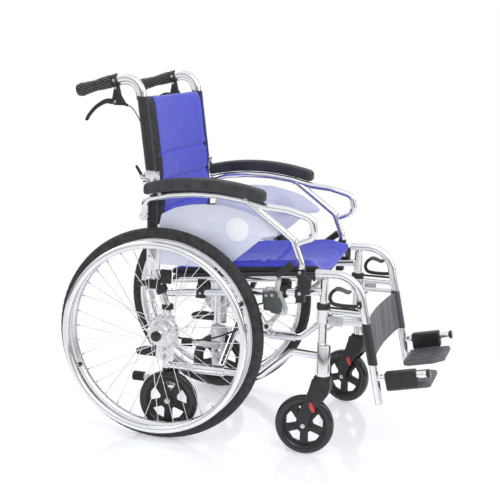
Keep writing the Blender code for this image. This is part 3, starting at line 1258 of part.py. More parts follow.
def back_line(z):
    """The back's middle surface: where the canes' front faces lie at a height."""
    if z < HINGE_Z:
        low, high = CANE_MIDDLE, CANE_TOP
    else:
        low, high = UPPER_FOOT, UPPER_BEND
    return low[0] + (high[0] - low[0]) * (z - low[1]) / (high[1] - low[1])


def back_panel(name, foot, top, seams, rows):
    """A length of the padded back, between the canes."""
    def place(u, v, face):
        z = foot + (top - foot) * v
        beside_joint = abs(z - HINGE_Z) < JOINT_REACH
        across_x = (2 * u - 1) * (FRAME_X - JOINT_HALF - GAP if beside_joint else BACK_HALF_WIDTH)
        slack = BACK_SAG * (1 - (2 * u - 1) ** 2)
        y = back_line(z) + BACK_OFFSET + slack
        if face == 0:
            return (across_x, y, z)
        puff = BACK_THICK * (1 - 0.6 * (2 * u - 1) ** 6) * (1 - 0.5 * (2 * v - 1) ** 12)
        puff -= channel(v, seams, 0.06, SEAM_DEPTH)
        return (across_x, y - puff, z)

    soft_sheet(name, 10, rows, BACK_THICK, "blue_fabric", place)


def calf_strap():
    """The strap behind the calves, between the leg rest tubes."""
    def place(u, v, face):
        across_x = (2 * u - 1) * STRAP_HALF_WIDTH
        z = STRAP_FOOT_Z + (STRAP_TOP_Z - STRAP_FOOT_Z) * v
        slack = STRAP_SAG * (1 - (2 * u - 1) ** 2)
        return (across_x, hanger_y(z) + slack + (STRAP_HALF if face else -STRAP_HALF), z)

    soft_sheet("calf_strap", 12, 3, STRAP_HALF, "black_fabric", place)


# The chair
for side_name, sign in SIDES:
    side_frame(sign, side_name)
    axle_plate(sign, side_name)
    transit_bracket(sign, side_name)
    tipping_grip(sign, side_name)
    transit_wheel(sign, side_name)
    hub_brake(sign, side_name)
    rear_wheel(sign, side_name)
    rear_tyre(sign, side_name)
    handrim(sign, side_name)
    castor_fork(sign, side_name)
    castor_wheel(sign, side_name)
    lower_cane(sign, side_name)
    upper_cane(sign, side_name)
    release_lever(sign, side_name)
    push_grip(sign, side_name)
    lever_bracket(sign, side_name)
    attendant_lever(sign, side_name)
    armrest_frame(sign, side_name)
    arm_pad(sign, side_name)
    side_guard(sign, side_name)
    parking_brake_lever(sign, side_name)
    parking_brake_shoe(sign, side_name)
    hanger(sign, side_name)
    hanger_lever(sign, side_name)
    footplate_sleeve(sign, side_name)
    footplate(sign, side_name)
    brake_cable(sign, side_name)
    cross_brace(sign, side_name)

seat_cushion()
back_panel("back_lower", BACK_FOOT_Z, HINGE_Z - BACK_SPLIT, (), 5)
back_panel("back_upper", HINGE_Z + BACK_SPLIT, BACK_TOP_Z,
           ((BACK_SEAM_Z - HINGE_Z) / (BACK_TOP_Z - HINGE_Z),), 9)
calf_strap()
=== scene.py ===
# %% [markdown]
# # A folding wheelchair, dressed for its portrait
#
# The chair's working solids are already made: their sizes, joints and bodies are fixed, and this
# script only gives them their looks. Every metal tube, tyre and cushion that the eye meets is
# modelled here again with fine meshes and node materials, in the same places.
#
# The chair looks along -Y. Its left side is +X. Everything is in metres.

# %% Load the frame
import json
from math import cos, hypot, pi, radians, sin, tan

import bmesh
import bpy
from mathutils import Matrix, Vector, noise

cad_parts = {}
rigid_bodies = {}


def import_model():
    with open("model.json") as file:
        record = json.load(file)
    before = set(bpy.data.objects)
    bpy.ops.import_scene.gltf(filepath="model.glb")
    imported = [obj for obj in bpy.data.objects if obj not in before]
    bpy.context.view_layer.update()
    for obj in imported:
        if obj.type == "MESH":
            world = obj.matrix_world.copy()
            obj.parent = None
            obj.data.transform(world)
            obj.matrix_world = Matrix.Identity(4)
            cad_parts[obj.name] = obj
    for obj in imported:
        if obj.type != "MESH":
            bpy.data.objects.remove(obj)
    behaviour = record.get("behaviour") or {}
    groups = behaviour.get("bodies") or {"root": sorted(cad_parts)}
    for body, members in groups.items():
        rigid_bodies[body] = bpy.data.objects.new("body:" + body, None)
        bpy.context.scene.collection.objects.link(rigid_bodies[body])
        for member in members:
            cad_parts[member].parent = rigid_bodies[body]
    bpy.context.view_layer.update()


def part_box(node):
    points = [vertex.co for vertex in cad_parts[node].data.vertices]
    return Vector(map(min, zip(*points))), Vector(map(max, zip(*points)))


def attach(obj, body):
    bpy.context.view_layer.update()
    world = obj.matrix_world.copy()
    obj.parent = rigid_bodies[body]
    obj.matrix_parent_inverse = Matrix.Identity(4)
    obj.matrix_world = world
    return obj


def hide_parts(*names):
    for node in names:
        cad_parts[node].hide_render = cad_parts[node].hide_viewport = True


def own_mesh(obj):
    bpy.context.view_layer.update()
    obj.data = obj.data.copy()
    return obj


for obj in list(bpy.data.objects):
    bpy.data.objects.remove(obj, do_unlink=True)

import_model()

# %% [markdown]
# ## Measures read from the frame
#
# A wheelchair is drawn from its drive wheel: the axle sits at a known height and everything
# else is counted from it. The tyre's own box gives the wheel's radius and where the axle is
# along Y, so the numbers below stay true to the solids.

# %% Where the axle is
tyre_low, tyre_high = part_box("rear_tyre_left")
AXLE_Y = (tyre_low.y + tyre_high.y) / 2
WHEEL_RADIUS = (tyre_high.z - tyre_low.z) / 2
WHEEL_X = (tyre_low.x + tyre_high.x) / 2
TYRE_HALF = (tyre_high.x - tyre_low.x) / 2
FRAME_X = 0.220
GAP = 0.0003
SIDES = (("right", -1), ("left", 1))
print(f"axle at y {AXLE_Y:.4f}, wheel radius {WHEEL_RADIUS:.4f}, track {2 * WHEEL_X:.3f}")

# %% [markdown]
# ## The camera
#
# The photograph looks at the chair's right side, a little from the front and from just above
# the armrests. A long lens keeps the two wheels nearly the same size. The camera is turned
# about its own axis by two degrees, as the photographer held it.

# %% Camera
CAMERA_PLACE = Vector((-3.181, -1.078 + AXLE_Y, 1.067))
CAMERA_AZIMUTH = radians(-73.95)
CAMERA_ELEVATION = radians(10.09)
CAMERA_ROLL = radians(1.99)
CAMERA_LENS = 87.26


def look(azimuth, elevation, roll):
    """The camera's turn: its own right, up and backward directions as columns."""
    back = Vector((sin(azimuth) * cos(elevation), -cos(azimuth) * cos(elevation), sin(elevation)))
    right = (-back).cross(Vector((0, 0, 1))).normalized()
    up = right.cross(-back)
    right_held = right * cos(roll) + up * sin(roll)
    up_held = up * cos(roll) - right * sin(roll)
    return Matrix((right_held, up_held, back)).transposed()


camera = bpy.data.objects.new("camera", bpy.data.cameras.new("camera"))
camera.data.sensor_width = 36.0
camera.data.lens = CAMERA_LENS
camera.matrix_world = Matrix.Translation(CAMERA_PLACE) @ look(CAMERA_AZIMUTH, CAMERA_ELEVATION,
                                                               CAMERA_ROLL).to_4x4()
bpy.context.scene.collection.objects.link(camera)
bpy.context.scene.camera = camera
bpy.context.scene.view_settings.view_transform = "Standard"
print("camera", [round(v, 3) for v in camera.location])

# %% [markdown]
# ## Floor, backdrop and light
#
# The chair stands on glossy white acrylic in a white room. White comes from the colour of the
# floor and the world as the camera sees them, not from strong lamps, so the chair's own
# colours render about as they are written. Polished tubes need something to mirror: the world
# holds a soft grey band round the horizon, which draws the dark streaks along the metal.

# %% Node helpers
def feed(tree, node, inputs):
    """Give a node's inputs their values, or link them to another node's output."""
    for socket, value in inputs.items():
        if isinstance(value, bpy.types.NodeSocket):
            tree.links.new(value, node.inputs[socket])
        else:
            node.inputs[socket].default_value = value


def node_in(tree, kind, inputs=None, **settings):
    """One new shader node with its settings and inputs."""
    made = tree.nodes.new(f"ShaderNode{kind}")
    for setting, value in settings.items():
        setattr(made, setting, value)
    feed(tree, made, inputs or {})
    return made


# %% World
WHITE = (1.0, 1.0, 1.0, 1.0)
# height as a share of the room, grey
ROOM_BANDS = ((0.00, 0.62), (0.40, 0.70), (0.485, 0.16), (0.53, 0.10), (0.58, 0.74), (0.80, 1.00),
              (1.00, 0.70))
world = bpy.data.worlds.new("white_room")
bpy.context.scene.world = world
world.use_nodes = True
tree = world.node_tree
tree.nodes.clear()
direction = node_in(tree, "TexCoord").outputs["Generated"]
height = node_in(tree, "SeparateXYZ", {0: direction}).outputs["Z"]
level = node_in(tree, "Math", {0: height, 1: 0.5, 2: 0.5}, operation="MULTIPLY_ADD").outputs[0]
band = node_in(tree, "ValToRGB", {"Fac": level})
band.color_ramp.interpolation = "EASE"
for place, grey in ROOM_BANDS:
    stop = band.color_ramp.elements.new(place)
    stop.color = (grey, grey, grey * 1.02, 1.0)
band.color_ramp.elements.remove(band.color_ramp.elements[0])
band.color_ramp.elements.remove(band.color_ramp.elements[-1])
soft_light = node_in(tree, "Background", {"Color": (0.93, 0.95, 1.0, 1.0), "Strength": 0.62}).outputs[0]
mirrored = node_in(tree, "Background", {"Color": band.outputs["Color"], "Strength": 1.0}).outputs[0]
seen = node_in(tree, "Background", {"Color": WHITE}).outputs[0]
ray = node_in(tree, "LightPath").outputs
through = node_in(tree, "Math", {0: ray["Is Camera Ray"], 1: ray["Is Transmission Ray"]},
                  operation="MAXIMUM").outputs[0]
room = node_in(tree, "MixShader", {0: ray["Is Glossy Ray"], 1: soft_light, 2: mirrored}).outputs[0]
whole = node_in(tree, "MixShader", {0: through, 1: room, 2: seen}).outputs[0]
node_in(tree, "OutputWorld", {"Surface": whole})

# %% Floor
# The acrylic fades to pure white with distance, so that no horizon shows.
FLOOR_REACH = 9.0
FADE_START, FADE_END = 0.55, 1.15
floor_mesh = bpy.data.meshes.new("floor")
corners = [(a * FLOOR_REACH, b * FLOOR_REACH, 0) for a, b in ((-1, -1), (1, -1), (1, 1), (-1, 1))]
floor_mesh.from_pydata(corners, [], [(0, 1, 2, 3)])
floor = bpy.data.objects.new("floor", floor_mesh)
floor.location = (0.0, -0.20, -0.0005)
bpy.context.scene.collection.objects.link(floor)
acrylic = bpy.data.materials.new("white_acrylic")
acrylic.use_nodes = True
tree = acrylic.node_tree
gloss = tree.nodes["Principled BSDF"]
feed(tree, gloss, {"Base Color": (0.86, 0.87, 0.90, 1.0), "Roughness": 0.09})
glow = node_in(tree, "Emission", {"Color": (0.95, 0.965, 1.0, 1.0), "Strength": 0.40})
near = node_in(tree, "AddShader", {0: gloss.outputs[0], 1: glow.outputs[0]}).outputs[0]
far = node_in(tree, "Emission", {"Color": WHITE}).outputs[0]
spot = node_in(tree, "TexCoord").outputs["Object"]
distance = node_in(tree, "VectorMath", {0: spot}, operation="LENGTH").outputs["Value"]
fade = node_in(tree, "MapRange", {"From Min": FADE_START, "From Max": FADE_END, "Value": distance},
               interpolation_type="SMOOTHSTEP").outputs["Result"]
ray = node_in(tree, "LightPath").outputs
by_mirror = node_in(tree, "Math", {0: ray["Is Glossy Ray"], 1: ray["Is Transmission Ray"]},
                    operation="MAXIMUM").outputs[0]
by_eye = node_in(tree, "Math", {0: ray["Is Camera Ray"], 1: by_mirror}, operation="MAXIMUM").outputs[0]
share = node_in(tree, "Math", {0: by_eye, 1: fade}, operation="MULTIPLY").outputs[0]
blend = node_in(tree, "MixShader", {0: share, 1: near, 2: far}).outputs[0]
tree.links.new(blend, tree.nodes["Material Output"].inputs["Surface"])
floor.data.materials.append(acrylic)

# %% Lamps
# name, place, aimed at the seat, size, watts
LAMPS = (("key", (-2.4, -1.6, 2.9), 2.2, 46.0), ("fill", (0.6, -3.4, 1.8), 2.6, 26.0),
         ("back_light", (1.6, 2.4, 2.6), 2.0, 30.0))
for name, place, size, watts in LAMPS:
    lamp = bpy.data.objects.new(name, bpy.data.lights.new(name, "AREA"))
    lamp.data.size = size
    lamp.data.energy = watts
    lamp.location = place
    lamp.rotation_euler = (Vector((0, 0, 0.45)) - Vector(place)).to_track_quat("-Z", "Y").to_euler()
    bpy.context.scene.collection.objects.link(lamp)
    print(name, watts, "W")

# %% [markdown]
# ## Finishes
#
# Each finish is a small node group round one Principled shader: a base colour that wanders a
# little, a roughness that wanders with it, and a bump at the scale of the real surface. The
# patterns follow the object's own coordinates, which are metres here, so a scale of 900 means
# grain a bit over a millimetre across.


# %% What a finish can do
class Finish:
    """A material under construction: its shader, and the patterns that drive it.

    haze is (noise scale, detail, lowest, highest) for the roughness; tint is (noise scale, detail,
    dark, light) for the colour; grain is (scale, detail, strength, depth) for the bump, pebbled
    where detail is None.
    """

    def __init__(self, name, slot, colour, rough, metal=0.0, haze=None, tint=None, grain=None, **sockets):
        self.material = bpy.data.materials.new(name)
        self.material.use_nodes = True
        self.tree = self.material.node_tree
        self.shader = self.tree.nodes["Principled BSDF"]
        self.slot = slot
        feed(self.tree, self.shader, {"Base Color": (*colour, 1.0), "Roughness": rough, "Metallic": metal})
        feed(self.tree, self.shader, {socket.replace("_", " "): value for socket, value in sockets.items()})
        self.place = node_in(self.tree, "TexCoord").outputs["Object"]
        if haze:
            scale, detail, low, high = haze
            self.roughness(self.noise(scale, detail), low, high)
        if tint:
            scale, detail, dark, light = tint
            self.tint(self.noise(scale, detail), dark, light)
        if grain:
            scale, detail, strength, depth = grain
            self.bump(self.noise(scale, detail) if detail else self.cells(scale), strength, depth)

    def stretched(self, scale):
        """The object's coordinates scaled unevenly."""
        return node_in(self.tree, "Mapping", {"Scale": scale, "Vector": self.place}).outputs[0]

    def noise(self, scale, detail=3.0, vector=None):
        """Soft noise, about a unit over scale across."""
        inputs = {"Scale": scale, "Detail": detail, "Vector": vector or self.place}
        return node_in(self.tree, "TexNoise", inputs).outputs["Fac"]

    def cells(self, scale):
        """Distance to the nearest of scattered points: pebbled grain."""
        return node_in(self.tree, "TexVoronoi", {"Scale": scale, "Vector": self.place}).outputs["Distance"]

    def waves(self, direction, scale):
        """Straight ridges across one direction."""
        inputs = {"Scale": scale, "Distortion": 0.0, "Vector": self.place}
        return node_in(self.tree, "TexWave", inputs, bands_direction=direction).outputs["Fac"]

    def maths(self, operation, one, two):
        """One Math node."""
        return node_in(self.tree, "Math", {0: one, 1: two}, operation=operation).outputs[0]

    def roughness(self, value, low, high, start=0.3, end=0.7):
        """Let a pattern drive the roughness."""
        inputs = {"From Min": start, "From Max": end, "To Min": low, "To Max": high, "Value": value}
        spread = node_in(self.tree, "MapRange", inputs).outputs["Result"]
        feed(self.tree, self.shader, {"Roughness": spread})

    def tint(self, value, dark, light, start=0.3, end=0.7):
        """Let a pattern mix two colours into the base colour."""
        ramp = node_in(self.tree, "ValToRGB", {"Fac": value})
        for stop, place, colour in zip(ramp.color_ramp.elements, (start, end), (dark, light)):
            stop.position = place
            stop.color = (*colour, 1.0)
        feed(self.tree, self.shader, {"Base Color": ramp.outputs["Color"]})

    def bump(self, height, strength, depth):
        """Raise a pattern by a depth in metres."""
        made = node_in(self.tree, "Bump", {"Strength": strength, "Distance": depth, "Height": height})
        feed(self.tree, self.shader, {"Normal": made.outputs["Normal"]})


# %% [markdown]
# ### Metals
#
# The frame is bright aluminium tube: polished, but with fine drawing lines along the tube and
# a breath of haze where hands and cleaning cloths have been. The brake parts are zinc-plated
# steel, darker and a little warmer.

# %% Metals
alloy = Finish("bright_alloy", "alloy", (0.83, 0.84, 0.86), 0.18, 1.0, (34.0, 4.0, 0.12, 0.25),
               (9.0, 3.0, (0.76, 0.77, 0.79), (0.88, 0.89, 0.91)))
alloy.bump(alloy.noise(700.0, 2.0, alloy.stretched((1.0, 0.06, 1.0))), 0.10, 0.0002)
rim_alloy = Finish("satin_rim", "alloy", (0.80, 0.81, 0.83), 0.30, 1.0, (26.0, 4.0, 0.22, 0.38),
                   (7.0, 3.0, (0.72, 0.73, 0.75), (0.86, 0.87, 0.89)), (420.0, 2.0, 0.06, 0.0002))
steel = Finish("plated_steel", "steel", (0.60, 0.61, 0.63), 0.32, 1.0, (48.0, 4.0, 0.22, 0.44),
               (60.0, 5.0, (0.48, 0.49, 0.50), (0.70, 0.71, 0.72)), (900.0, 2.0, 0.08, 0.0002))

# %% [markdown]
# ### Rubber and plastics
#
# Tyre rubber is nearly black but never shiny: fine grit lies in its pores. The moulded parts
# have the pebble grain that a sandblasted mould leaves. The push grips are softer and blacker.
# The side guards are frosted polycarbonate, pale lilac where light comes through.

# %% Rubber and plastics
tyre_rubber = Finish("tyre_rubber", "tyre", (0.022, 0.022, 0.024), 0.72, 0.0, (90.0, 5.0, 0.62, 0.86),
                     (70.0, 6.0, (0.014, 0.014, 0.015), (0.045, 0.045, 0.047)), (1500.0, 3.0, 0.25, 0.0003))
moulded = Finish("moulded_black", "black_plastic", (0.012, 0.012, 0.013), 0.42, 0.0,
                 (120.0, 4.0, 0.34, 0.52),
                 (55.0, 4.0, (0.008, 0.008, 0.009), (0.022, 0.022, 0.024)), (1400.0, None, 0.22, 0.0002))
soft_grip = Finish("soft_black_grip", "black_plastic", (0.010, 0.010, 0.011), 0.50, 0.0,
                   (150.0, 4.0, 0.42, 0.62),
                   (80.0, 5.0, (0.006, 0.006, 0.007), (0.024, 0.024, 0.026)), (1800.0, 2.0, 0.18, 0.0002))
pad_skin = Finish("arm_pad_skin", "black_plastic", (0.030, 0.031, 0.034), 0.52, 0.0,
                  (90.0, 4.0, 0.44, 0.62),
                  (40.0, 5.0, (0.020, 0.021, 0.023), (0.046, 0.047, 0.051)), (1100.0, None, 0.35, 0.0003))
grey_plastic = Finish("moulded_grey", "grey_plastic", (0.105, 0.107, 0.118), 0.46, 0.0,
                      (100.0, 4.0, 0.38, 0.56), (38.0, 5.0, (0.082, 0.084, 0.094), (0.135, 0.137, 0.150)),
                      (1200.0, None, 0.25, 0.0002))
gloss_black = Finish("gloss_black", "black_plastic", (0.008, 0.008, 0.009), 0.20,
                     haze=(60.0, 3.0, 0.16, 0.30), Coat_Weight=0.3)
cover_green = Finish("brake_cover", "grey_plastic", (0.060, 0.072, 0.072), 0.48,
                     tint=(50.0, 4.0, (0.046, 0.056, 0.056), (0.082, 0.096, 0.096)),
                     grain=(1300.0, None, 0.25, 0.0002))
roller_white = Finish("roller_white", "grey_plastic", (0.78, 0.78, 0.76), 0.35,
                      tint=(90.0, 4.0, (0.66, 0.66, 0.63), (0.84, 0.84, 0.82)))
# Painted highlight: the tops of the grip's beads get this lighter grey in place of the highlights they
# catch.
painted_bead_highlight = Finish("painted_bead_highlight", "black_plastic", (0.300, 0.300, 0.305), 0.42,
                   tint=(300.0, 3.0, (0.230, 0.230, 0.235), (0.370, 0.370, 0.375)))
reflector_red = Finish("reflector_red", "grey_plastic", (0.62, 0.012, 0.012), 0.16,
                       grain=(900.0, None, 0.5, 0.0004), Coat_Weight=0.6)
reflector_red.tint(reflector_red.cells(900.0), (0.42, 0.004, 0.004), (0.80, 0.03, 0.02))
frosted = Finish("frosted_guard", "guard", (0.86, 0.88, 0.98), 0.30, 0.0, (30.0, 3.0, 0.28, 0.42),
                 (5.0, 3.0, (0.80, 0.83, 0.97), (0.92, 0.93, 0.99)), (1000.0, 2.0, 0.10, 0.0002),
                 Alpha=0.74)
badge_white = Finish("blank_badge", "guard", (0.93, 0.93, 0.96), 0.40, haze=(60.0, 3.0, 0.34, 0.48))

# %% [markdown]
# ### Cloth
#
# The cushion covers are a royal-blue spacer mesh: a knitted face full of tiny round holes,
# which from a step away reads as a fine, slightly glowing weave. The slings and sleeves are
# black nylon. Both patterns are crossed ridges: where two waves meet, a thread lies on top.


# %% Cloth
def woven(finish, pitch, strength, depth, dark, light):
    """Crossed ridges as a weave: they darken the hollows and raise the threads."""
    ridges = pi / 10 / pitch
    level = finish.waves("X", ridges)
    upright = finish.waves("Z", ridges)
    along = finish.waves("Y", ridges)
    threads = finish.maths("MULTIPLY", finish.maths("MAXIMUM", upright, along), level)
    wander = finish.noise(18.0, 5.0)
    shade = finish.maths("ADD", finish.maths("MULTIPLY", threads, 0.55),
                         finish.maths("MULTIPLY", wander, 0.45))
    finish.tint(shade, dark, light, 0.18, 0.72)
    finish.bump(threads, strength, depth)


blue_mesh = Finish("royal_blue_mesh", "blue_fabric", (0.040, 0.052, 0.60), 0.74,
                   Sheen_Weight=0.35, Sheen_Roughness=0.45)
woven(blue_mesh, 0.0019, 0.14, 0.0003, (0.030, 0.038, 0.48), (0.052, 0.068, 0.70))

blue_edge = Finish("navy_piping", "blue_fabric", (0.020, 0.026, 0.30), 0.70, Sheen_Weight=0.2)
woven(blue_edge, 0.0012, 0.5, 0.0003, (0.010, 0.013, 0.18), (0.030, 0.038, 0.38))

black_nylon = Finish("black_nylon", "black_fabric", (0.016, 0.016, 0.018), 0.70, Sheen_Weight=0.25)
woven(black_nylon, 0.0013, 0.45, 0.0003, (0.008, 0.008, 0.009), (0.030, 0.030, 0.034))

strap_nylon = Finish("strap_nylon", "black_fabric", (0.062, 0.058, 0.074), 0.66, Sheen_Weight=0.3)
woven(strap_nylon, 0.0016, 0.4, 0.0003, (0.046, 0.043, 0.056), (0.082, 0.078, 0.096))
print(len(bpy.data.materials), "finishes")


# %% [markdown]
# ## Workshop
#
# The chair is mostly bent tube, turned rings and flat plates. Each has one helper below. They
# all work about the drive wheel's axle, with y = 0 there, and the last helper sets a finished
# piece back to the frame's own place, gives it its finish and hangs it on its body.


# %% Meshes to and fro
def mesh_object(name, mesh):
    """A loose object of a mesh."""
    made = bpy.data.objects.new(name, mesh)
    bpy.context.scene.collection.objects.link(made)
    return made


def from_bmesh(bm, name="shape"):
    """A loose object of a bmesh, its doubles welded and its faces pointing out."""
    bmesh.ops.remove_doubles(bm, verts=bm.verts, dist=1e-6)
    bmesh.ops.recalc_face_normals(bm, faces=bm.faces)
    mesh = bpy.data.meshes.new(name)
    bm.to_mesh(mesh)
    bm.free()
    return mesh_object(name, mesh)


def settled(obj):
    """The same object as a plain mesh, as its modifiers leave it, in the chair's own axes."""
    bpy.context.view_layer.update()
    graph = bpy.context.evaluated_depsgraph_get()
    bm = bmesh.new()
    mesh = bpy.data.meshes.new_from_object(obj.evaluated_get(graph))
    bm.from_mesh(mesh)
    bm.transform(obj.matrix_world)
    bpy.data.meshes.remove(mesh)
    bpy.data.objects.remove(obj, do_unlink=True)
    return from_bmesh(bm)


def laid(place, axis):
    """The move that sets a shape's own Z along an axis, at a place."""
    return Matrix.Translation(place) @ Vector(axis).to_track_quat("Z", "Y").to_matrix().to_4x4()


def moved(obj, matrix):
    """Move a shape's mesh."""
    obj.data.transform(matrix)
    return obj


def dress(name, body, finish, *shapes, stands_for=(), angle=38):
    """Join shapes to one piece of the chair, in one finish, on one body."""
    bm = bmesh.new()
    for shape in shapes:
        bm.from_mesh(shape.data)
        bpy.data.objects.remove(shape, do_unlink=True)
    mesh = bpy.data.meshes.new(name)
    bm.to_mesh(mesh)
    bm.free()
    mesh.transform(Matrix.Translation((0.0, AXLE_Y, 0.0)))
    mesh.materials.append(finish.material)
    mesh.shade_smooth()
    mesh.set_sharp_from_angle(angle=radians(angle))
    piece = mesh_object(name, mesh)
    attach(piece, body)
    if stands_for:
        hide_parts(*stands_for)
    return piece


# %% Bent tubes
TUBE_SIDES = 20


def rounded(points, bends, steps=8):
    """A path whose inner corners are arcs of the given radii."""
    pts = [Vector(p) for p in points]
    if isinstance(bends, (int, float)):
        bends = [bends] * (len(pts) - 2)
    path = [pts[0]]
    for before, corner, after, radius in zip(pts, pts[1:], pts[2:], bends):
        one = (before - corner).normalized()
        two = (after - corner).normalized()
        half = one.angle(two) / 2
        if half > pi / 2 - 0.002:
            path.append(corner)
            continue
        reach = radius / tan(half)
        centre = corner + (one + two).normalized() * (radius / sin(half))
        first = (corner + one * reach - centre).normalized()
        last = (corner + two * reach - centre).normalized()
        path += [centre + first.slerp(last, k / steps) * radius for k in range(steps + 1)]
    path.append(pts[-1])
    return path


def flowing(route, steps=6):
    """A smooth curve through a route's points."""
    route = [Vector(p) for p in route]
    ends = [route[0] * 2 - route[1], *route, route[-1] * 2 - route[-2]]
    made = []
    for a, b, c, d in zip(ends, ends[1:], ends[2:], ends[3:]):
        for k in range(steps):
            t = k / steps
            made.append(((b * 2) + (c - a) * t + (a * 2 - b * 5 + c * 4 - d) * t ** 2
                         + (b * 3 - a - c * 3 + d) * t ** 3) / 2)
    made.append(route[-1])
    return made


def tube(points, radius, sides=TUBE_SIDES):
    """A round tube along a path, with closed ends."""
    curve = bpy.data.curves.new("tube", "CURVE")
    curve.dimensions = "3D"
    curve.bevel_depth = radius
    curve.bevel_resolution = sides // 2 - 2
    curve.use_fill_caps = True
    spline = curve.splines.new("POLY")
    spline.points.add(len(points) - 1)
    for point, place in zip(spline.points, points):
        point.co = (*place, 1.0)
    return settled(mesh_object("tube", curve))


# %% Rods, plates and turned rings
def lofted(rings, closed=False):
    """A skin through rings of points: its ends are capped, or joined to each other."""
    bm = bmesh.new()
    rows = [[bm.verts.new(point) for point in ring] for ring in rings]
    for here, there in zip(rows, rows[1:] + rows[:1] if closed else rows[1:]):
        for k in range(len(here)):
            n = (k + 1) % len(here)
            bm.faces.new((here[k], here[n], there[n], there[k]))
    if not closed:
        bm.faces.new(rows[0][::-1])
        bm.faces.new(rows[-1])
    return from_bmesh(bm)


def mirrored_profile(half):
    """A (radius, along) profile and its mirror image behind it."""
    return half + [(r, -a) for r, a in reversed(half)]


def rod(start, end, radius, sides=24, end_radius=None, edge=0.0):
    """A straight round bar or taper between two points, its end edges broken."""
    start, end = Vector(start), Vector(end)
    run = end - start
    bm = bmesh.new()
    place = laid((start + end) / 2, run)
    bmesh.ops.create_cone(bm, cap_ends=True, segments=sides, radius1=radius,
                          radius2=radius if end_radius is None else end_radius, depth=run.length,
                          matrix=place)
    if edge:
        rims = [e for e in bm.edges if any(len(f.verts) > 4 for f in e.link_faces)]
        bmesh.ops.bevel(bm, geom=rims, offset=edge, segments=2, profile=0.6, affect="EDGES")
    return from_bmesh(bm)


def across(side, x_in, x_out, place, radius, sides=24, edge=0.0):
    """A round bar that runs straight out to one side at a (y, z) place."""
    return rod((side * x_in, *place), (side * x_out, *place), radius, sides, edge=edge)


def block(low, high, edge=0.001, segments=3):
    """A box between two corners with softened edges."""
    low = Vector(low)
    high = Vector(high)
    bm = bmesh.new()
    bmesh.ops.create_cube(bm, size=1.0)
    bmesh.ops.transform(bm, matrix=Matrix.Diagonal((*(high - low), 1.0)), verts=bm.verts)
    bmesh.ops.transform(bm, matrix=Matrix.Translation((low + high) / 2), verts=bm.verts)
    bmesh.ops.bevel(bm, geom=bm.edges[:], offset=edge, segments=segments, profile=0.6, affect="EDGES")
    return from_bmesh(bm)


def side_block(side, x_in, x_out, low, high, edge=0.001):
    """A softened box on one side, between two (y, z) corners."""
    x_low, x_high = sorted((side * x_in, side * x_out))
    return block((x_low, *low), (x_high, *high), edge)


def plate(outlines, middle_x, half, edge=0.0006):
    """A flat plate in a side plane from outlines of (y, z) points; inner outlines are holes."""
    curve = bpy.data.curves.new("plate", "CURVE")
    curve.dimensions = "2D"
    curve.fill_mode = "BOTH"
    curve.extrude = half - edge
    curve.bevel_depth = edge
    curve.offset = -edge
    curve.bevel_resolution = 1
    for outline in outlines:
        spline = curve.splines.new("POLY")
        spline.points.add(len(outline) - 1)
        spline.use_cyclic_u = True
        for point, (y, z) in zip(spline.points, outline):
            point.co = (y, z, 0.0, 1.0)
    obj = mesh_object("plate", curve)
    # the curve's own X, Y and Z become the chair's Y, Z and X
    obj.matrix_world = Matrix(((0, 0, 1, middle_x), (1, 0, 0, 0), (0, 1, 0, 0), (0, 0, 0, 1)))
    return settled(obj)


def side_plate(side, x_in, x_out, outlines, edge):
    """A flat plate on one side, between two distances from the middle."""
    return plate(outlines, side * (x_in + x_out) / 2, (x_out - x_in) / 2, edge)


def circle(centre, radius, sides=24, start=0.0):
    """Points of a circle in a side plane."""
    return [(centre[0] + radius * cos(start + 2 * pi * k / sides),
             centre[1] + radius * sin(start + 2 * pi * k / sides)) for k in range(sides)]


def about(centre, points):
    """Points of a side outline that are counted from a place."""
    return [(centre[0] + y, centre[1] + z) for y, z in points]


def softened(points, radius, steps=5):
    """A closed outline with every corner rounded."""
    ring = [(y, z, 0.0) for y, z in points]
    return [(p.x, p.y) for p in rounded([ring[-1], *ring, ring[0]], radius, steps)[1:-1]]


def ribbon(run, half_widths, steps=6):
    """The outline of a flat bent lever: a smooth run in a side plane with a half width at each point."""
    middle = flowing([Vector((y, z, half)) for (y, z), half in zip(run, half_widths)], steps)
    left, right = [], []
    for k, here in enumerate(middle):
        run_here = middle[min(k + 1, len(middle) - 1)] - middle[max(k - 1, 0)]
        out = Vector((-run_here.y, run_here.x)).normalized() * here.z
        left.append(here.xy + out)
        right.append(here.xy - out)
    tip_out, tip = (left[-1] - right[-1]) / 2, (left[-1] + right[-1]) / 2
    ahead = Vector((tip_out.y, -tip_out.x))
    back_out, back = (right[0] - left[0]) / 2, (left[0] + right[0]) / 2
    behind = Vector((back_out.y, -back_out.x))
    turns = [pi * k / 8 for k in range(1, 8)]
    cap = [tip + tip_out * cos(t) + ahead * sin(t) for t in turns]
    rear = [back + back_out * cos(t) + behind * sin(t) for t in turns]
    return [tuple(p) for p in left + cap + right[::-1] + rear]


def turned(profile, segments, centre, axis=(1, 0, 0), closed=False):
    """A profile of (radius, along) points turned about an axis."""
    bm = bmesh.new()
    rows = []
    for k in range(segments):
        a = 2 * pi * k / segments
        rows.append([bm.verts.new((r * cos(a), r * sin(a), z)) for r, z in profile])
    count = len(profile)
    for k in range(segments):
        here, there = rows[k], rows[(k + 1) % segments]
        for i in range(count if closed else count - 1):
            j = (i + 1) % count
            corners = (here[i], there[i], there[j], here[j])
            if profile[i][0] < 1e-7:
                corners = (here[i], there[j], here[j])
            elif profile[j][0] < 1e-7:
                corners = (here[i], there[i], here[j])
            bm.faces.new(corners)
    bm.transform(laid(centre, axis))
    return from_bmesh(bm)


def band(inner, outer, low, high, broken, segments, centre, axis):
    """A ring round a tube from low to high along its axis, its outer edges broken."""
    drop, run = broken
    profile = [(inner, low), (outer - drop, low), (outer, low + run), (outer, high - run),
               (outer - drop, high), (inner, high)]
    return turned(profile, segments, centre, axis, closed=True)


